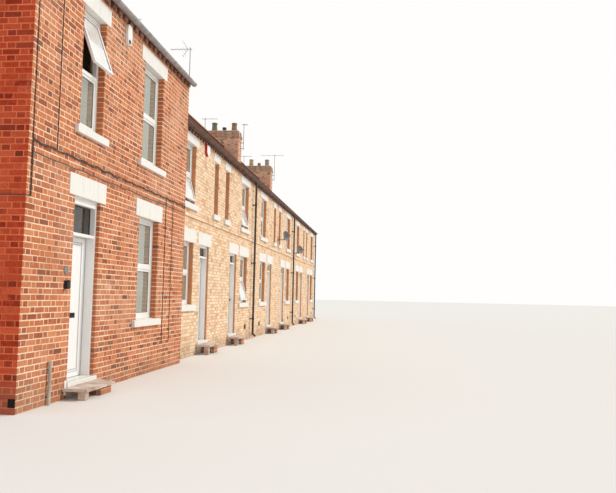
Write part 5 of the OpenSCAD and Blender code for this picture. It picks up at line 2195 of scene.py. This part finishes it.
@dataclass
class Doors:
    """White front doors in their rebated frames, each leaf on its own body."""

    finishes: Finishes
    jamb_t: float = 0.025
    stop_t: float = 0.015
    leaf_t: float = 0.044
    gap: float = 0.007
    stile: float = 0.113
    rail: float = 0.065
    frame_back: float = 0.142
    plate_half: float = 0.120
    plate_z: Span = (0.830, 0.900)
    knob_z: float = 0.960
    knob_in: float = 0.055
    knuckle_h: float = 0.048
    knuckle_r: float = 0.006
    knuckle_z: float = 0.239
    knuckle_span: float = 0.420
    light_rail: float = 0.040
    flap: float = 0.030

    @property
    def leaf_w(self) -> float:
        """Width of a leaf."""
        return SITE.door_w - 2 * self.jamb_t - 2 * self.gap

    def build(self) -> None:
        """Builds every frame, fanlight and leaf."""
        panes, seals = [], []
        for i, d in enumerate(SITE.doors()):
            self._leaf(i, d)
            glass, seal = self._fanlight(d)
            panes.append(glass)
            seals.append(seal)
        f = self.finishes
        Bench.hand_over(Bench.join(panes, "fanlight_panes"), f.fanlight_painted_shade, "glass", ("fanlights",))
        Bench.hand_over(Bench.join(seals, "fanlight_seals"), f.gasket, "black_plastic")

    def _fanlight(self, d: DoorSpec) -> tuple[Piece, Piece]:
        """Pane over a door with its seal.

        Args:
            d: the door.

        Returns:
            The pane and the seal.
        """
        inner = SITE.door_w / 2 - self.jamb_t - self.stop_t
        z0 = d.top + 2 * self.gap + d.leaf_h + self.light_rail
        z1 = d.head - d.head_h
        y = d.face + self.frame_back
        pane = Bench.box((d.x - inner, d.x + inner), (y - 0.004, y + 0.004), (z0, z1), "pane")
        seal = Windows.ring(2 * inner, (0, z1 - z0), 0.008, (-0.010, 0.010))
        Bench.shift(seal, SITE.put(d.x, y, z0))
        return pane, seal

    def _leaf(self, index: int, d: DoorSpec) -> None:
        """One door leaf: outer slab, sunk panel with a raised moulding, letter plate, handle and knuckles.

        Args:
            index: the door's number.
            d: the door.
        """
        f = self.finishes
        z0 = d.top + self.gap
        z1 = z0 + d.leaf_h
        y0 = d.face + SITE.wall - self.leaf_t
        w = self.leaf_w
        slab = Bench.box((d.x - w / 2, d.x + w / 2), (y0, y0 + self.leaf_t), (z0, z1), "leaf")
        Bench.edit_side(slab, (0, -1, 0))
        bpy.ops.mesh.inset(thickness=self.rail, depth=0)
        bpy.ops.transform.resize(value=((w - 2 * self.stile) / (w - 2 * self.rail), 1, 1))
        for thickness, depth in ((0.012, -0.009), (0.018, 0.0), (0.014, 0.006)):
            bpy.ops.mesh.inset(thickness=thickness, depth=depth)
        Bench.leave()
        slab = Bench.coat(Bench.soften(slab, 0.002, 1), f.leaf, f.bead)
        middle = SITE.put(d.x, 0, 0).x
        # Painted shade: the sloping faces of the panel moulding take the grey, as shadow lines round the
        # panel.
        for face in slab.data.polygons:
            inside = abs(face.center.x - middle) < w / 2 - 0.05 and face.center.z < z1 - 0.05
            face.material_index = 1 if inside and -0.97 < face.normal.y < -0.3 else 0
        half, (low, high) = self.plate_half, self.plate_z
        plate = Bench.box((d.x - half, d.x + half), (y0 - 0.003, y0 + 0.006), (z0 + low, z0 + high))
        Bench.edit_side(plate, (0, -1, 0))
        for thickness, depth in ((0.012, 0), (0.002, -0.002)):
            bpy.ops.mesh.inset(thickness=thickness, depth=depth)
        Bench.leave()
        plate = Bench.coat(Bench.soften(plate, 0.002, 1), f.black)
        parts = [slab, plate, self._handle(d, y0, z0), *self._knuckles(d, z0)]
        piece = Bench.join(parts, f"door_leaf_{index}")
        Bench.hand_over(piece, None, "white_plastic", (f"front_door_{index}",), f"door_{index}")

    def _handle(self, d: DoorSpec, y0: float, z0: float) -> Piece:
        """Turned knob on a round rose.

        Args:
            d: the door.
            y0: front of its leaf.
            z0: foot of its leaf.

        Returns:
            The new object.
        """
        x = d.x - d.hinge * (self.leaf_w / 2 - self.knob_in)
        profile = [(0.0215, -0.002), (0.021, 0.004), (0.012, 0.008), (0.0115, 0.024), (0.018, 0.028),
                   (0.0255, 0.037), (0.0255, 0.044), (0.020, 0.050), (0.004, 0.0515)]
        knob = Fittings.turned(profile, SITE.put(x, y0, z0 + self.knob_z))
        return Bench.coat(knob, self.finishes.black_metal)

    def _knuckles(self, d: DoorSpec, z0: float) -> list[Piece]:
        """Three hinge knuckles with their flaps.

        Args:
            d: the door.
            z0: foot of its leaf.

        Returns:
            The three hinges.
        """
        found = []
        r, h = self.knuckle_r, self.knuckle_h
        x = d.x + d.hinge * (self.leaf_w + self.gap) / 2
        y = d.face + SITE.wall + r
        for n in range(3):
            z = z0 + self.knuckle_z + n * (d.leaf_h - self.knuckle_span - h) / 2
            Bench.clear()
            place = SITE.put(x, y, z + h / 2)
            bpy.ops.mesh.primitive_cylinder_add(vertices=16, radius=r, depth=h, location=place)
            pin = bpy.context.object
            Bench.fix_place(pin)
            flap_x = d.x + d.hinge * (self.leaf_w / 2 - self.flap)
            flap = Bench.box((flap_x, x), (y - r, y - 0.003), (z, z + h))
            hinge = Bench.join([Bench.soften(pin, 0.001, 1), flap], "hinge")
            found.append(Bench.coat(hinge, self.finishes.bare_metal))
        return found


# Gutters and fittings


@dataclass
class Gutters:
    """Half-round gutters with rolled rims, unions, brackets and stop ends."""

    finishes: Finishes
    radius: float = 0.056
    wall: float = 0.004
    gap: float = 0.008
    drop: float = 0.004
    step: float = 0.650
    strap: float = 0.030
    strap_t: float = 0.0055
    strap_out: float = 0.0045
    arm_z: Span = (0.013, 0.001)
    inset: float = 0.040
    union_w: float = 0.070
    union_in: float = 0.1
    rim_r: float = 0.005
    end_pipe: float = 0.290
    outlet: float = 0.094

    def build(self) -> None:
        """Builds the four runs."""
        s, f = SITE, self.finishes
        unions = [s.end_w + 1.9 + 2.0 * i for i in range(12)]
        end, row = (0.0, s.end_w), (s.end_w + 0.001, s.total)
        runs = (
            ("end_gutter", end, 0.0, s.end_plate, [2.70, 3.40], [[], [self.end_pipe]], f.gutter_grey),
            ("row_gutter", row, s.setback, s.row_plate, unions, [s.pipes(), s.pipes()], f.gutter_brown),
        )
        for name, span, face, plate, joints, pipes, finish in runs:
            parts = []
            for rear in (False, True):
                inward = -1 if rear else 1
                middle = (s.back if rear else face) - inward * (s.dentil_out + self.gap + self.radius)
                at = (middle, plate - s.roof_over * s.rise - self.drop)
                parts += self._run(span, at, inward, joints, pipes[int(rear)])
            Bench.hand_over(Bench.join(parts, name), finish, "grey_plastic", ("gutters",))

    def _run(self, span: Span, at: Span, inward: int, unions: list[float], pipes: list[float]) -> list[Piece]:
        """One length of gutter with all that holds it.

        Args:
            span: left and right end.
            at: place and height of the middle of its rim.
            inward: 1 where the wall lies on the +Y side, and -1 where it lies on the other.
            unions: places of the joints between lengths.
            pipes: places of the downpipes, where there is no bracket.

        Returns:
            Its parts.
        """
        x0, x1 = span
        parts = [self._trough(x0, x1, at, self.radius, self.wall)]
        rim = SITE.put(0, at[0] - inward * (self.radius - self.rim_r), at[1] - 0.004)
        Bench.clear()
        bpy.ops.mesh.primitive_cylinder_add(
            vertices=8, radius=self.rim_r, depth=x1 - x0, rotation=(0, math.pi / 2, 0),
            location=(SITE.put((x0 + x1) / 2, 0, 0).x, rim.y, rim.z))
        bead = bpy.context.object
        Bench.fix_place(bead)
        parts.append(Bench.soften(bead, 0.001, 1))
        parts += [self._stop(x, at) for x in (x0, x1 - self.wall)]
        outer, half = self.radius + self.strap_out, self.union_w / 2
        for x in unions:
            if x0 + self.union_in < x < x1 - self.union_in:
                parts.append(self._trough(x - half, x + half, at, outer, self.strap_t))
        count = int((x1 - x0) / self.step)
        pitch = (x1 - x0 - 2 * self.inset - self.strap) / count
        near, far = at[0] + inward * (self.radius - 0.002), at[0] + inward * (self.radius + self.gap)
        for i in range(count + 1):
            x = x0 + self.inset + i * pitch
            if any(abs(x + self.strap / 2 - p) < self.outlet for p in pipes):
                continue
            parts.append(self._trough(x, x + self.strap, at, outer, self.strap_t))
            low, high = (at[1] - fall for fall in self.arm_z)
            arm = Bench.box((x, x + self.strap), (near, far), (low, high))
            parts.append(Bench.soften(arm, 0.0015, 1))
        return parts

    def _trough(self, x0: float, x1: float, at: Span, radius: float, wall: float) -> Piece:
        """A half ring drawn out along the row: a circle cut at its rim, extruded and thickened.

        Args:
            x0: left end.
            x1: right end.
            at: middle of its rim.
            radius: outer radius.
            wall: thickness.

        Returns:
            The new object.
        """
        self._half(x0, at, radius - wall / 2, "NOTHING")
        Bench.draw(x=x1 - x0)
        return Bench.apply(Bench.leave(), "SOLIDIFY", thickness=wall, offset=0.0)

    def _stop(self, x: float, at: Span) -> Piece:
        """A half disc that closes an end.

        Args:
            x: its left side.
            at: middle of its rim.

        Returns:
            The new object.
        """
        self._half(x, at, self.radius + 0.001, "NGON")
        Bench.draw(x=self.wall)
        return Bench.soften(Bench.leave(True), 0.0012, 1)

    @staticmethod
    def _half(x: float, at: Span, radius: float, fill: str) -> None:
        """The lower half of a circle that stands across the row, left in edit mode and selected.

        Args:
            x: its place.
            at: middle of its rim.
            radius: its radius.
            fill: NGON or NOTHING.
        """
        Bench.clear()
        place = SITE.put(x, *at)
        bpy.ops.mesh.primitive_circle_add(
            vertices=24, radius=radius, fill_type=fill, location=place, rotation=(0, math.pi / 2, 0))
        Bench.fix_place(bpy.context.object)
        Bench.edit("VERT")
        bpy.ops.mesh.bisect(plane_co=place, plane_no=(0, 0, 1), clear_outer=True)
        bpy.ops.mesh.select_all(action="SELECT")


@dataclass
class Fittings:
    """Alarm boxes, lantern, plaque, clipped cables and air bricks."""

    finishes: Finishes
    end_alarm_x: float = 2.820
    lens_x: float = 2.806
    lens_drop: float = 0.118
    row_alarm_x: float = 8.540
    alarm_gap: float = 0.008
    lantern_x: float = 1.076
    lantern_y: float = -0.044
    lantern_z: float = 1.455
    lantern_h: float = 0.117
    lantern_r: float = 0.027
    bar_half: float = 0.002
    plaque_z: float = 1.708
    cable_r: float = 0.006
    wire_r: float = 0.0050
    corner_x: float = 0.09
    reach: float = 6.126
    slack: float = 0.020
    high_drops: tuple[float, ...] = (0.09, 0.69)
    low_drops: tuple[float, ...] = (5.0, 5.41)
    nail_h: float = 0.010
    bundle_z: float = 3.235
    second_z: float = 3.085
    turn_z: float = 2.55
    foot_z: float = 0.52
    clip_step: float = 0.62
    vent_side: float = 3.380
    vent_z: float = 0.424

    def build(self) -> None:
        """Builds every fitting."""
        self._alarms()
        Bench.hand_over(self._lantern(), None, "black_metal", ("wall_lantern",))
        Bench.hand_over(self._plaque(), self.finishes.plaque, "grey_metal", ("wall_lantern",))
        self._cables()
        self._vents()

    def _alarms(self) -> None:
        """Rounded box on the tall house, and a pointed one with coloured sides on the row."""
        f, s = self.finishes, SITE
        half, low = 0.1675, 0.1375
        end_z = s.dentil_foot(s.end_plate) - self.alarm_gap - half
        row_z = s.dentil_foot(s.row_plate) - self.alarm_gap - low
        outline = [(-0.068, -half), (0.068, -half), (0.1, 0), (0.068, half), (-0.068, half), (-0.1, 0)]
        end_box = self._badge(outline, 0.050, 0.040, 0.014, s.put(self.end_alarm_x, 0.0, end_z))
        Bench.coat(end_box, f.white)
        Bench.clear()
        place = s.put(self.lens_x, -0.049, end_z - self.lens_drop)
        bpy.ops.mesh.primitive_uv_sphere_add(segments=20, ring_count=10, radius=1.0, location=place)
        lens = bpy.context.object
        lens.scale = (0.050, 0.012, 0.038)
        Bench.fix_place(lens)
        Bench.trim(lens, s.put(self.lens_x, -0.048, 0), (0, 1, 0))
        Bench.coat(lens, f.lens)
        outline = [(-0.14, low), (-0.14, -0.055), (0, -low), (0.14, -0.055), (0.14, low)]
        row_box = self._badge(outline, 0.060, 0.012, 0.004, s.put(self.row_alarm_x, s.setback, row_z))
        Bench.coat(row_box, f.red, f.white)
        for face in row_box.data.polygons:
            face.material_index = 1 if face.normal.y < -ALONG else 0
        covers = Bench.join([end_box, lens, row_box], "alarm_covers")
        Bench.hand_over(covers, None, "white_plastic", ("alarm_boxes",))

    @staticmethod
    def _badge(outline: list[Span], depth: float, round_r: float, edge_r: float, at: Vector) -> Piece:
        """A moulded box of any outline: a disc shaped to it, extruded, its corners and its front rim rounded.

        Args:
            outline: corners as width and height from its middle.
            depth: distance that it stands out of the wall.
            round_r: radius of its corners.
            edge_r: radius round its front.
            at: its middle on the wall.

        Returns:
            The new object.
        """
        Bench.clear()
        bpy.ops.mesh.primitive_circle_add(vertices=len(outline), fill_type="NGON", location=(0, 0, 0))
        piece = bpy.context.object
        ordered = sorted(piece.data.vertices, key=lambda v: math.atan2(v.co.y, v.co.x))
        for vertex, (x, z) in zip(ordered, sorted(outline, key=lambda p: math.atan2(p[1], p[0]))):
            vertex.co = (at.x + x, at.y, at.z + z)
        bpy.ops.object.mode_set(mode="EDIT")
        bpy.ops.mesh.select_all(action="SELECT")
        bpy.ops.mesh.bevel(offset=round_r, segments=5, affect="VERTICES")
        bpy.ops.mesh.select_all(action="SELECT")
        Bench.draw(y=-depth)
        Bench.leave(True)
        Bench.edit_side(piece, (0, -1, 0))
        bpy.ops.mesh.bevel(offset=edge_r, segments=3, affect="EDGES")
        return Bench.leave()

    @staticmethod
    def turned(profile: list[Span], at: Vector, upright: bool = False, sides: int = 24) -> Piece:
        """A turned part: a disc extruded and resized along its axis, step by step.

        Args:
            profile: radius and distance along the axis, from one end to the other.
            at: the axis' start.
            upright: points the axis up, and otherwise out of the street front.
            sides: number of sides.

        Returns:
            The new object.
        """
        Bench.clear()
        radius = profile[0][0]
        bpy.ops.mesh.primitive_circle_add(vertices=sides, radius=radius, fill_type="NGON", location=(0, 0, 0))
        Bench.edit("FACE")
        for (r0, z0), (r1, z1) in zip(profile[:-1], profile[1:]):
            Bench.draw(z=z1 - z0)
            bpy.ops.transform.resize(value=(r1 / r0, r1 / r0, 1), center_override=(0, 0, z1))
        piece = Bench.leave(True)
        Bench.shift(piece, at, None if upright else Matrix.Rotation(math.pi / 2, 4, "X"))
        Bench.pick(piece)
        bpy.ops.object.shade_smooth_by_angle(angle=math.radians(35))
        return piece

    def _lantern(self) -> Piece:
        """Black lantern: back plate, arm, base, glazed body between bars, and a pointed cap.

        Returns:
            The new object.
        """
        f, s, x, y, z = self.finishes, SITE, self.lantern_x, self.lantern_y, self.lantern_z
        top, r, half = z + self.lantern_h, self.lantern_r, self.bar_half
        plate = Bench.box((x - 0.032, x + 0.032), (-0.010, 0.0), (z, top))
        arm = Bench.box((x - 0.010, x + 0.010), (y - 0.002, -0.002), (top - 0.014, top))
        base = [(0.012, 0), (0.024, 0.004), (0.030, 0.010), (0.030, 0.018)]
        cap = [(0.030, 0), (0.035, 0.002), (0.034, 0.006), (0.012, 0.022), (0.008, 0.024)]
        parts = [Bench.soften(plate, 0.004), Bench.soften(arm, 0.003)]
        for profile, rise in ((base, 0.003), (cap, 0.100)):
            parts.append(self.turned(profile, s.put(x, y, z + rise), True))
        for i in range(6):
            turn = i * math.pi / 3
            bx, by = x + r * math.cos(turn), y + r * math.sin(turn)
            bar = Bench.box((bx - half, bx + half), (by - half, by + half), (z + 0.019, top - 0.015))
            parts.append(bar)
        for part in parts:
            Bench.coat(part, f.black_metal)
        body = [(0.024, 0), (0.0245, 0.003), (0.0245, 0.080), (0.024, 0.082)]
        glass = self.turned(body, s.put(x, y, z + 0.020), True)
        return Bench.join(parts + [Bench.coat(glass, f.smoked)], "lantern")

    def _plaque(self) -> Piece:
        """Round plaque with a raised rim and a low boss.

        Returns:
            The new object.
        """
        profile = [(0.055, 0), (0.055, 0.007), (0.051, 0.011), (0.044, 0.011), (0.041, 0.007), (0.018, 0.007),
                   (0.012, 0.010)]
        return self.turned(profile, SITE.put(self.lantern_x, 0, self.plaque_z), False, 32)

    def _cables(self) -> None:
        """Cables clipped to the tall house, slack between their clips."""
        s, r, x0, z0, reach = SITE, self.cable_r, self.corner_x, self.bundle_z, self.reach
        top = s.dentil_foot(s.end_plate) - 0.002
        parts = []
        rng = np.random.default_rng(90)
        for run in range(3):
            turn = 2.1 * run
            sway = 0.008 * np.sin(np.linspace(0, 33, 70) + turn) + 0.005 * rng.standard_normal(70)
            deep = 0.012 + 0.0045 * np.cos(np.linspace(0, 33, 70) + turn)
            line = [(x0 + reach * i / 69, -deep[i], z0 - self.slack * math.sin(i * 0.62) ** 2 + sway[i])
                    for i in range(70)]
            parts.append(self.strand(line, self.wire_r))
            corner = [(x0 + 0.006 * math.cos(0.9 * i + turn), -0.011 - 0.005 * math.sin(0.9 * i + turn),
                       2.552 + 0.683 * i / 24) for i in range(25)]
            parts.append(self.strand(corner, self.wire_r))
        low = [(x0 + reach * i / 50, -r,
                self.second_z + 0.006 * math.sin(i * 1.3) + 0.003 * rng.standard_normal()) for i in range(51)]
        parts.append(self.strand(low, r))
        drops = [(x, z0, top) for x in self.high_drops] + [(x, self.foot_z, z0) for x in self.low_drops]
        for x, low_z, high_z in drops:
            rise = high_z - low_z
            count = max(8, int(rise / 0.16))
            line = [(x + 0.0025 * math.sin(i * 1.7) + 0.0015 * rng.standard_normal(), -r,
                     low_z + rise * i / count) for i in range(count + 1)]
            parts.append(self.strand(line, r))
            for z in np.arange(low_z + 0.2, high_z, self.clip_step):
                clip = Bench.box((x - 0.011, x + 0.011), (-0.0125, 0.0), (z, z + self.nail_h))
                parts.append(Bench.soften(clip, 0.003, 1))
        z = self.turn_z
        line = [(x0, -r, z), (0.05, -r, z - 0.001), (0.015, -r, z), (-0.005, -r * 0.7, z)]
        line.append((-r, 0.012, z + 0.001))
        line += [(-r, 0.05 + 3.5 * i / 24, z + 0.006 * math.sin(i * 1.1)) for i in range(25)]
        parts.append(self.strand(line, r))
        cables = Bench.join(parts, "clipped_cables")
        Bench.hand_over(cables, self.finishes.cable, "black_plastic", ("wall_cables",))

    @staticmethod
    def strand(points: list[Triple], radius: float) -> Piece:
        """A round cable along points, drawn as a curve and made a mesh.

        Args:
            points: places in row sizes.
            radius: radius of the cable.

        Returns:
            The new object.
        """
        Bench.clear()
        bpy.ops.curve.primitive_bezier_curve_add(location=(0, 0, 0))
        path = bpy.context.object.data
        path.splines.clear()
        spline = path.splines.new("NURBS")
        spline.points.add(len(points) - 1)
        for point, where in zip(spline.points, points):
            point.co = (*SITE.put(*where), 1.0)
        spline.use_endpoint_u = True
        spline.order_u = 4
        path.dimensions = "3D"
        path.bevel_depth = radius
        path.bevel_resolution = 1
        path.resolution_u = 2
        path.use_fill_caps = True
        bpy.ops.object.convert(target="MESH")
        return bpy.context.object

    def _vents(self) -> None:
        """Air bricks near the ground: one on the gable's corner and one by each window of the row."""
        s = SITE
        parts = [self._grille(0.088, 0.100, 3, 4)]
        Bench.shift(parts[0], s.put(0, 0.047, 0.131), Matrix.Rotation(-math.pi / 2, 4, "Z"))
        source = self._grille(0.213, 0.142, 8, 5)
        for x in s.pairs:
            for side in (-1, 1):
                parts.append(Bench.copy(source, s.put(x + side * self.vent_side, s.setback, self.vent_z)))
        bpy.data.objects.remove(source)
        Bench.hand_over(Bench.join(parts, "air_bricks"), self.finishes.black, "black_plastic")

    @staticmethod
    def _grille(w: float, h: float, across: int, up: int) -> Piece:
        """A plate that faces the street, with rows of sunk openings, about its middle on the wall.

        Args:
            w: width.
            h: height.
            across: openings across.
            up: rows of them.

        Returns:
            The new object.
        """
        Bench.clear()
        bpy.ops.mesh.primitive_grid_add(x_subdivisions=across, y_subdivisions=up, size=1.0)
        piece = bpy.context.object
        piece.scale = (w, h, 1)
        piece.rotation_euler = (math.pi / 2, 0, 0)
        Bench.fix_place(piece)
        Bench.edit("FACE")
        Bench.draw(y=-0.004)
        bpy.ops.mesh.inset(thickness=0.0035, depth=0, use_individual=True)
        bpy.ops.mesh.inset(thickness=0.0006, depth=-0.0035, use_individual=True)
        return Bench.leave(True)


@dataclass
class KeptSolids:
    """Solids whose shape is right as it is, given their finishes."""

    finishes: Finishes

    def build(self) -> None:
        """Assigns each finish."""
        f = self.finishes
        wanted = {
            "end_floors": f.boards, "row_floors": f.boards, "row_party_walls": f.plaster,
            "ridge_tiles": f.ridge, "door_jambs": f.white, "door_heads": f.white, "chimney_pots": f.pot,
            "downpipes": f.pipe, "satellite_dishes": f.dish, "tv_aerials": f.bare_metal,
        }
        for name, finish in wanted.items():
            Bench.coat(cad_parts[name], finish)
            LOG.info("%s: kept with %s", name, finish.name)


# Studio


@dataclass(frozen=True)
class Studio:
    """Pale floor, plain soft light and the camera at the photograph's viewing angle."""

    eye: Triple = (-7.484, -4.246, 1.4475)
    yaw: float = math.radians(6.87)
    pitch: float = math.radians(4.07)
    roll: float = math.radians(1.24)
    focal_px: float = 681.9
    photo_px: int = 616
    sensor: float = 36.0
    far: float = 500.0
    floor_w: float = 400.0
    floor_colour: Colour = (0.78, 0.775, 0.76)
    sky: Colour = (1.0, 0.99, 0.975)
    sky_level: float = 0.54
    sun_level: float = 1.85
    sun_width: float = math.radians(18)
    sun_colour: Colour = (1.0, 0.955, 0.88)
    sun_way: Triple = (-0.32, 0.72, -0.62)

    def build(self) -> None:
        """Sets floor, world, lamps, camera and view."""
        self._floor()
        self._world()
        self._lamps()
        self._camera()
        bpy.context.scene.view_settings.view_transform = "Standard"

    def _floor(self) -> None:
        """A wide pale plane whose far reaches fade to the background's white."""
        Bench.clear()
        bpy.ops.mesh.primitive_plane_add(size=self.floor_w, location=(0, 0, 0))
        floor = bpy.context.object
        floor.name = "studio_floor"
        d = Draft("studio_floor")
        d.shader.inputs["Specular IOR Level"].default_value = 0.0
        floor.data.materials.append(d.surface(self.floor_colour, 1.0))

    def _world(self) -> None:
        """White where it is seen, soft grey where it lights."""
        world = bpy.data.worlds.new("studio")
        bpy.context.scene.world = world
        world.use_nodes = True
        nodes, links = world.node_tree.nodes, world.node_tree.links
        back = nodes["Background"]
        path = nodes.new("ShaderNodeLightPath")
        seen = None
        for kind in ("Is Camera Ray", "Is Transmission Ray", "Is Glossy Ray"):
            step = nodes.new("ShaderNodeMath")
            step.operation = "MAXIMUM"
            links.new(path.outputs[kind], step.inputs[0])
            if seen is not None:
                links.new(seen.outputs[0], step.inputs[1])
            seen = step
        level = nodes.new("ShaderNodeMapRange")
        level.inputs["To Min"].default_value = self.sky_level
        level.inputs["To Max"].default_value = 1.0
        links.new(seen.outputs[0], level.inputs["Value"])
        back.inputs["Color"].default_value = (*self.sky, 1.0)
        links.new(level.outputs["Result"], back.inputs["Strength"])

    def _lamps(self) -> None:
        """One soft key from far along the street."""
        lamp = bpy.data.lights.new("key", "SUN")
        lamp.energy = self.sun_level
        lamp.angle = self.sun_width
        lamp.color = self.sun_colour
        key = bpy.data.objects.new("key", lamp)
        bpy.context.scene.collection.objects.link(key)
        key.rotation_euler = Vector(self.sun_way).to_track_quat("-Z", "Y").to_euler()

    def _camera(self) -> None:
        """Camera recovered from the photograph's straight lines."""
        data = bpy.data.cameras.new("camera")
        data.sensor_width = self.sensor
        data.lens = self.focal_px / self.photo_px * self.sensor
        data.clip_end = self.far
        camera = bpy.data.objects.new("camera", data)
        bpy.context.scene.collection.objects.link(camera)
        cy, sy, cp, sp = math.cos(self.yaw), math.sin(self.yaw), math.cos(self.pitch), math.sin(self.pitch)
        ahead = Vector((cp * cy, cp * sy, sp))
        right0 = Vector((sy, -cy, 0))
        up0 = right0.cross(ahead)
        right = math.cos(self.roll) * right0 + math.sin(self.roll) * up0
        up = -math.sin(self.roll) * right0 + math.cos(self.roll) * up0
        turn = Matrix((right, up, -ahead)).transposed()
        camera.matrix_world = Matrix.Translation(SITE.put(*self.eye)) @ turn.to_4x4()
        bpy.context.scene.camera = camera


def main() -> None:
    """Builds the row piece by piece."""
    logging.basicConfig(level=logging.INFO, format="%(name)s %(message)s")
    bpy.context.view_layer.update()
    Studio().build()
    finishes = Finishes()
    for kind in (PaintedStone, Windows, Doors, KeptSolids, RoofCovering, Gutters, Fittings, Brickwork):
        kind(finishes).build()
        LOG.info("%s built", kind.__name__)
    Bench.clear()


if __name__ == "__main__":
    main()
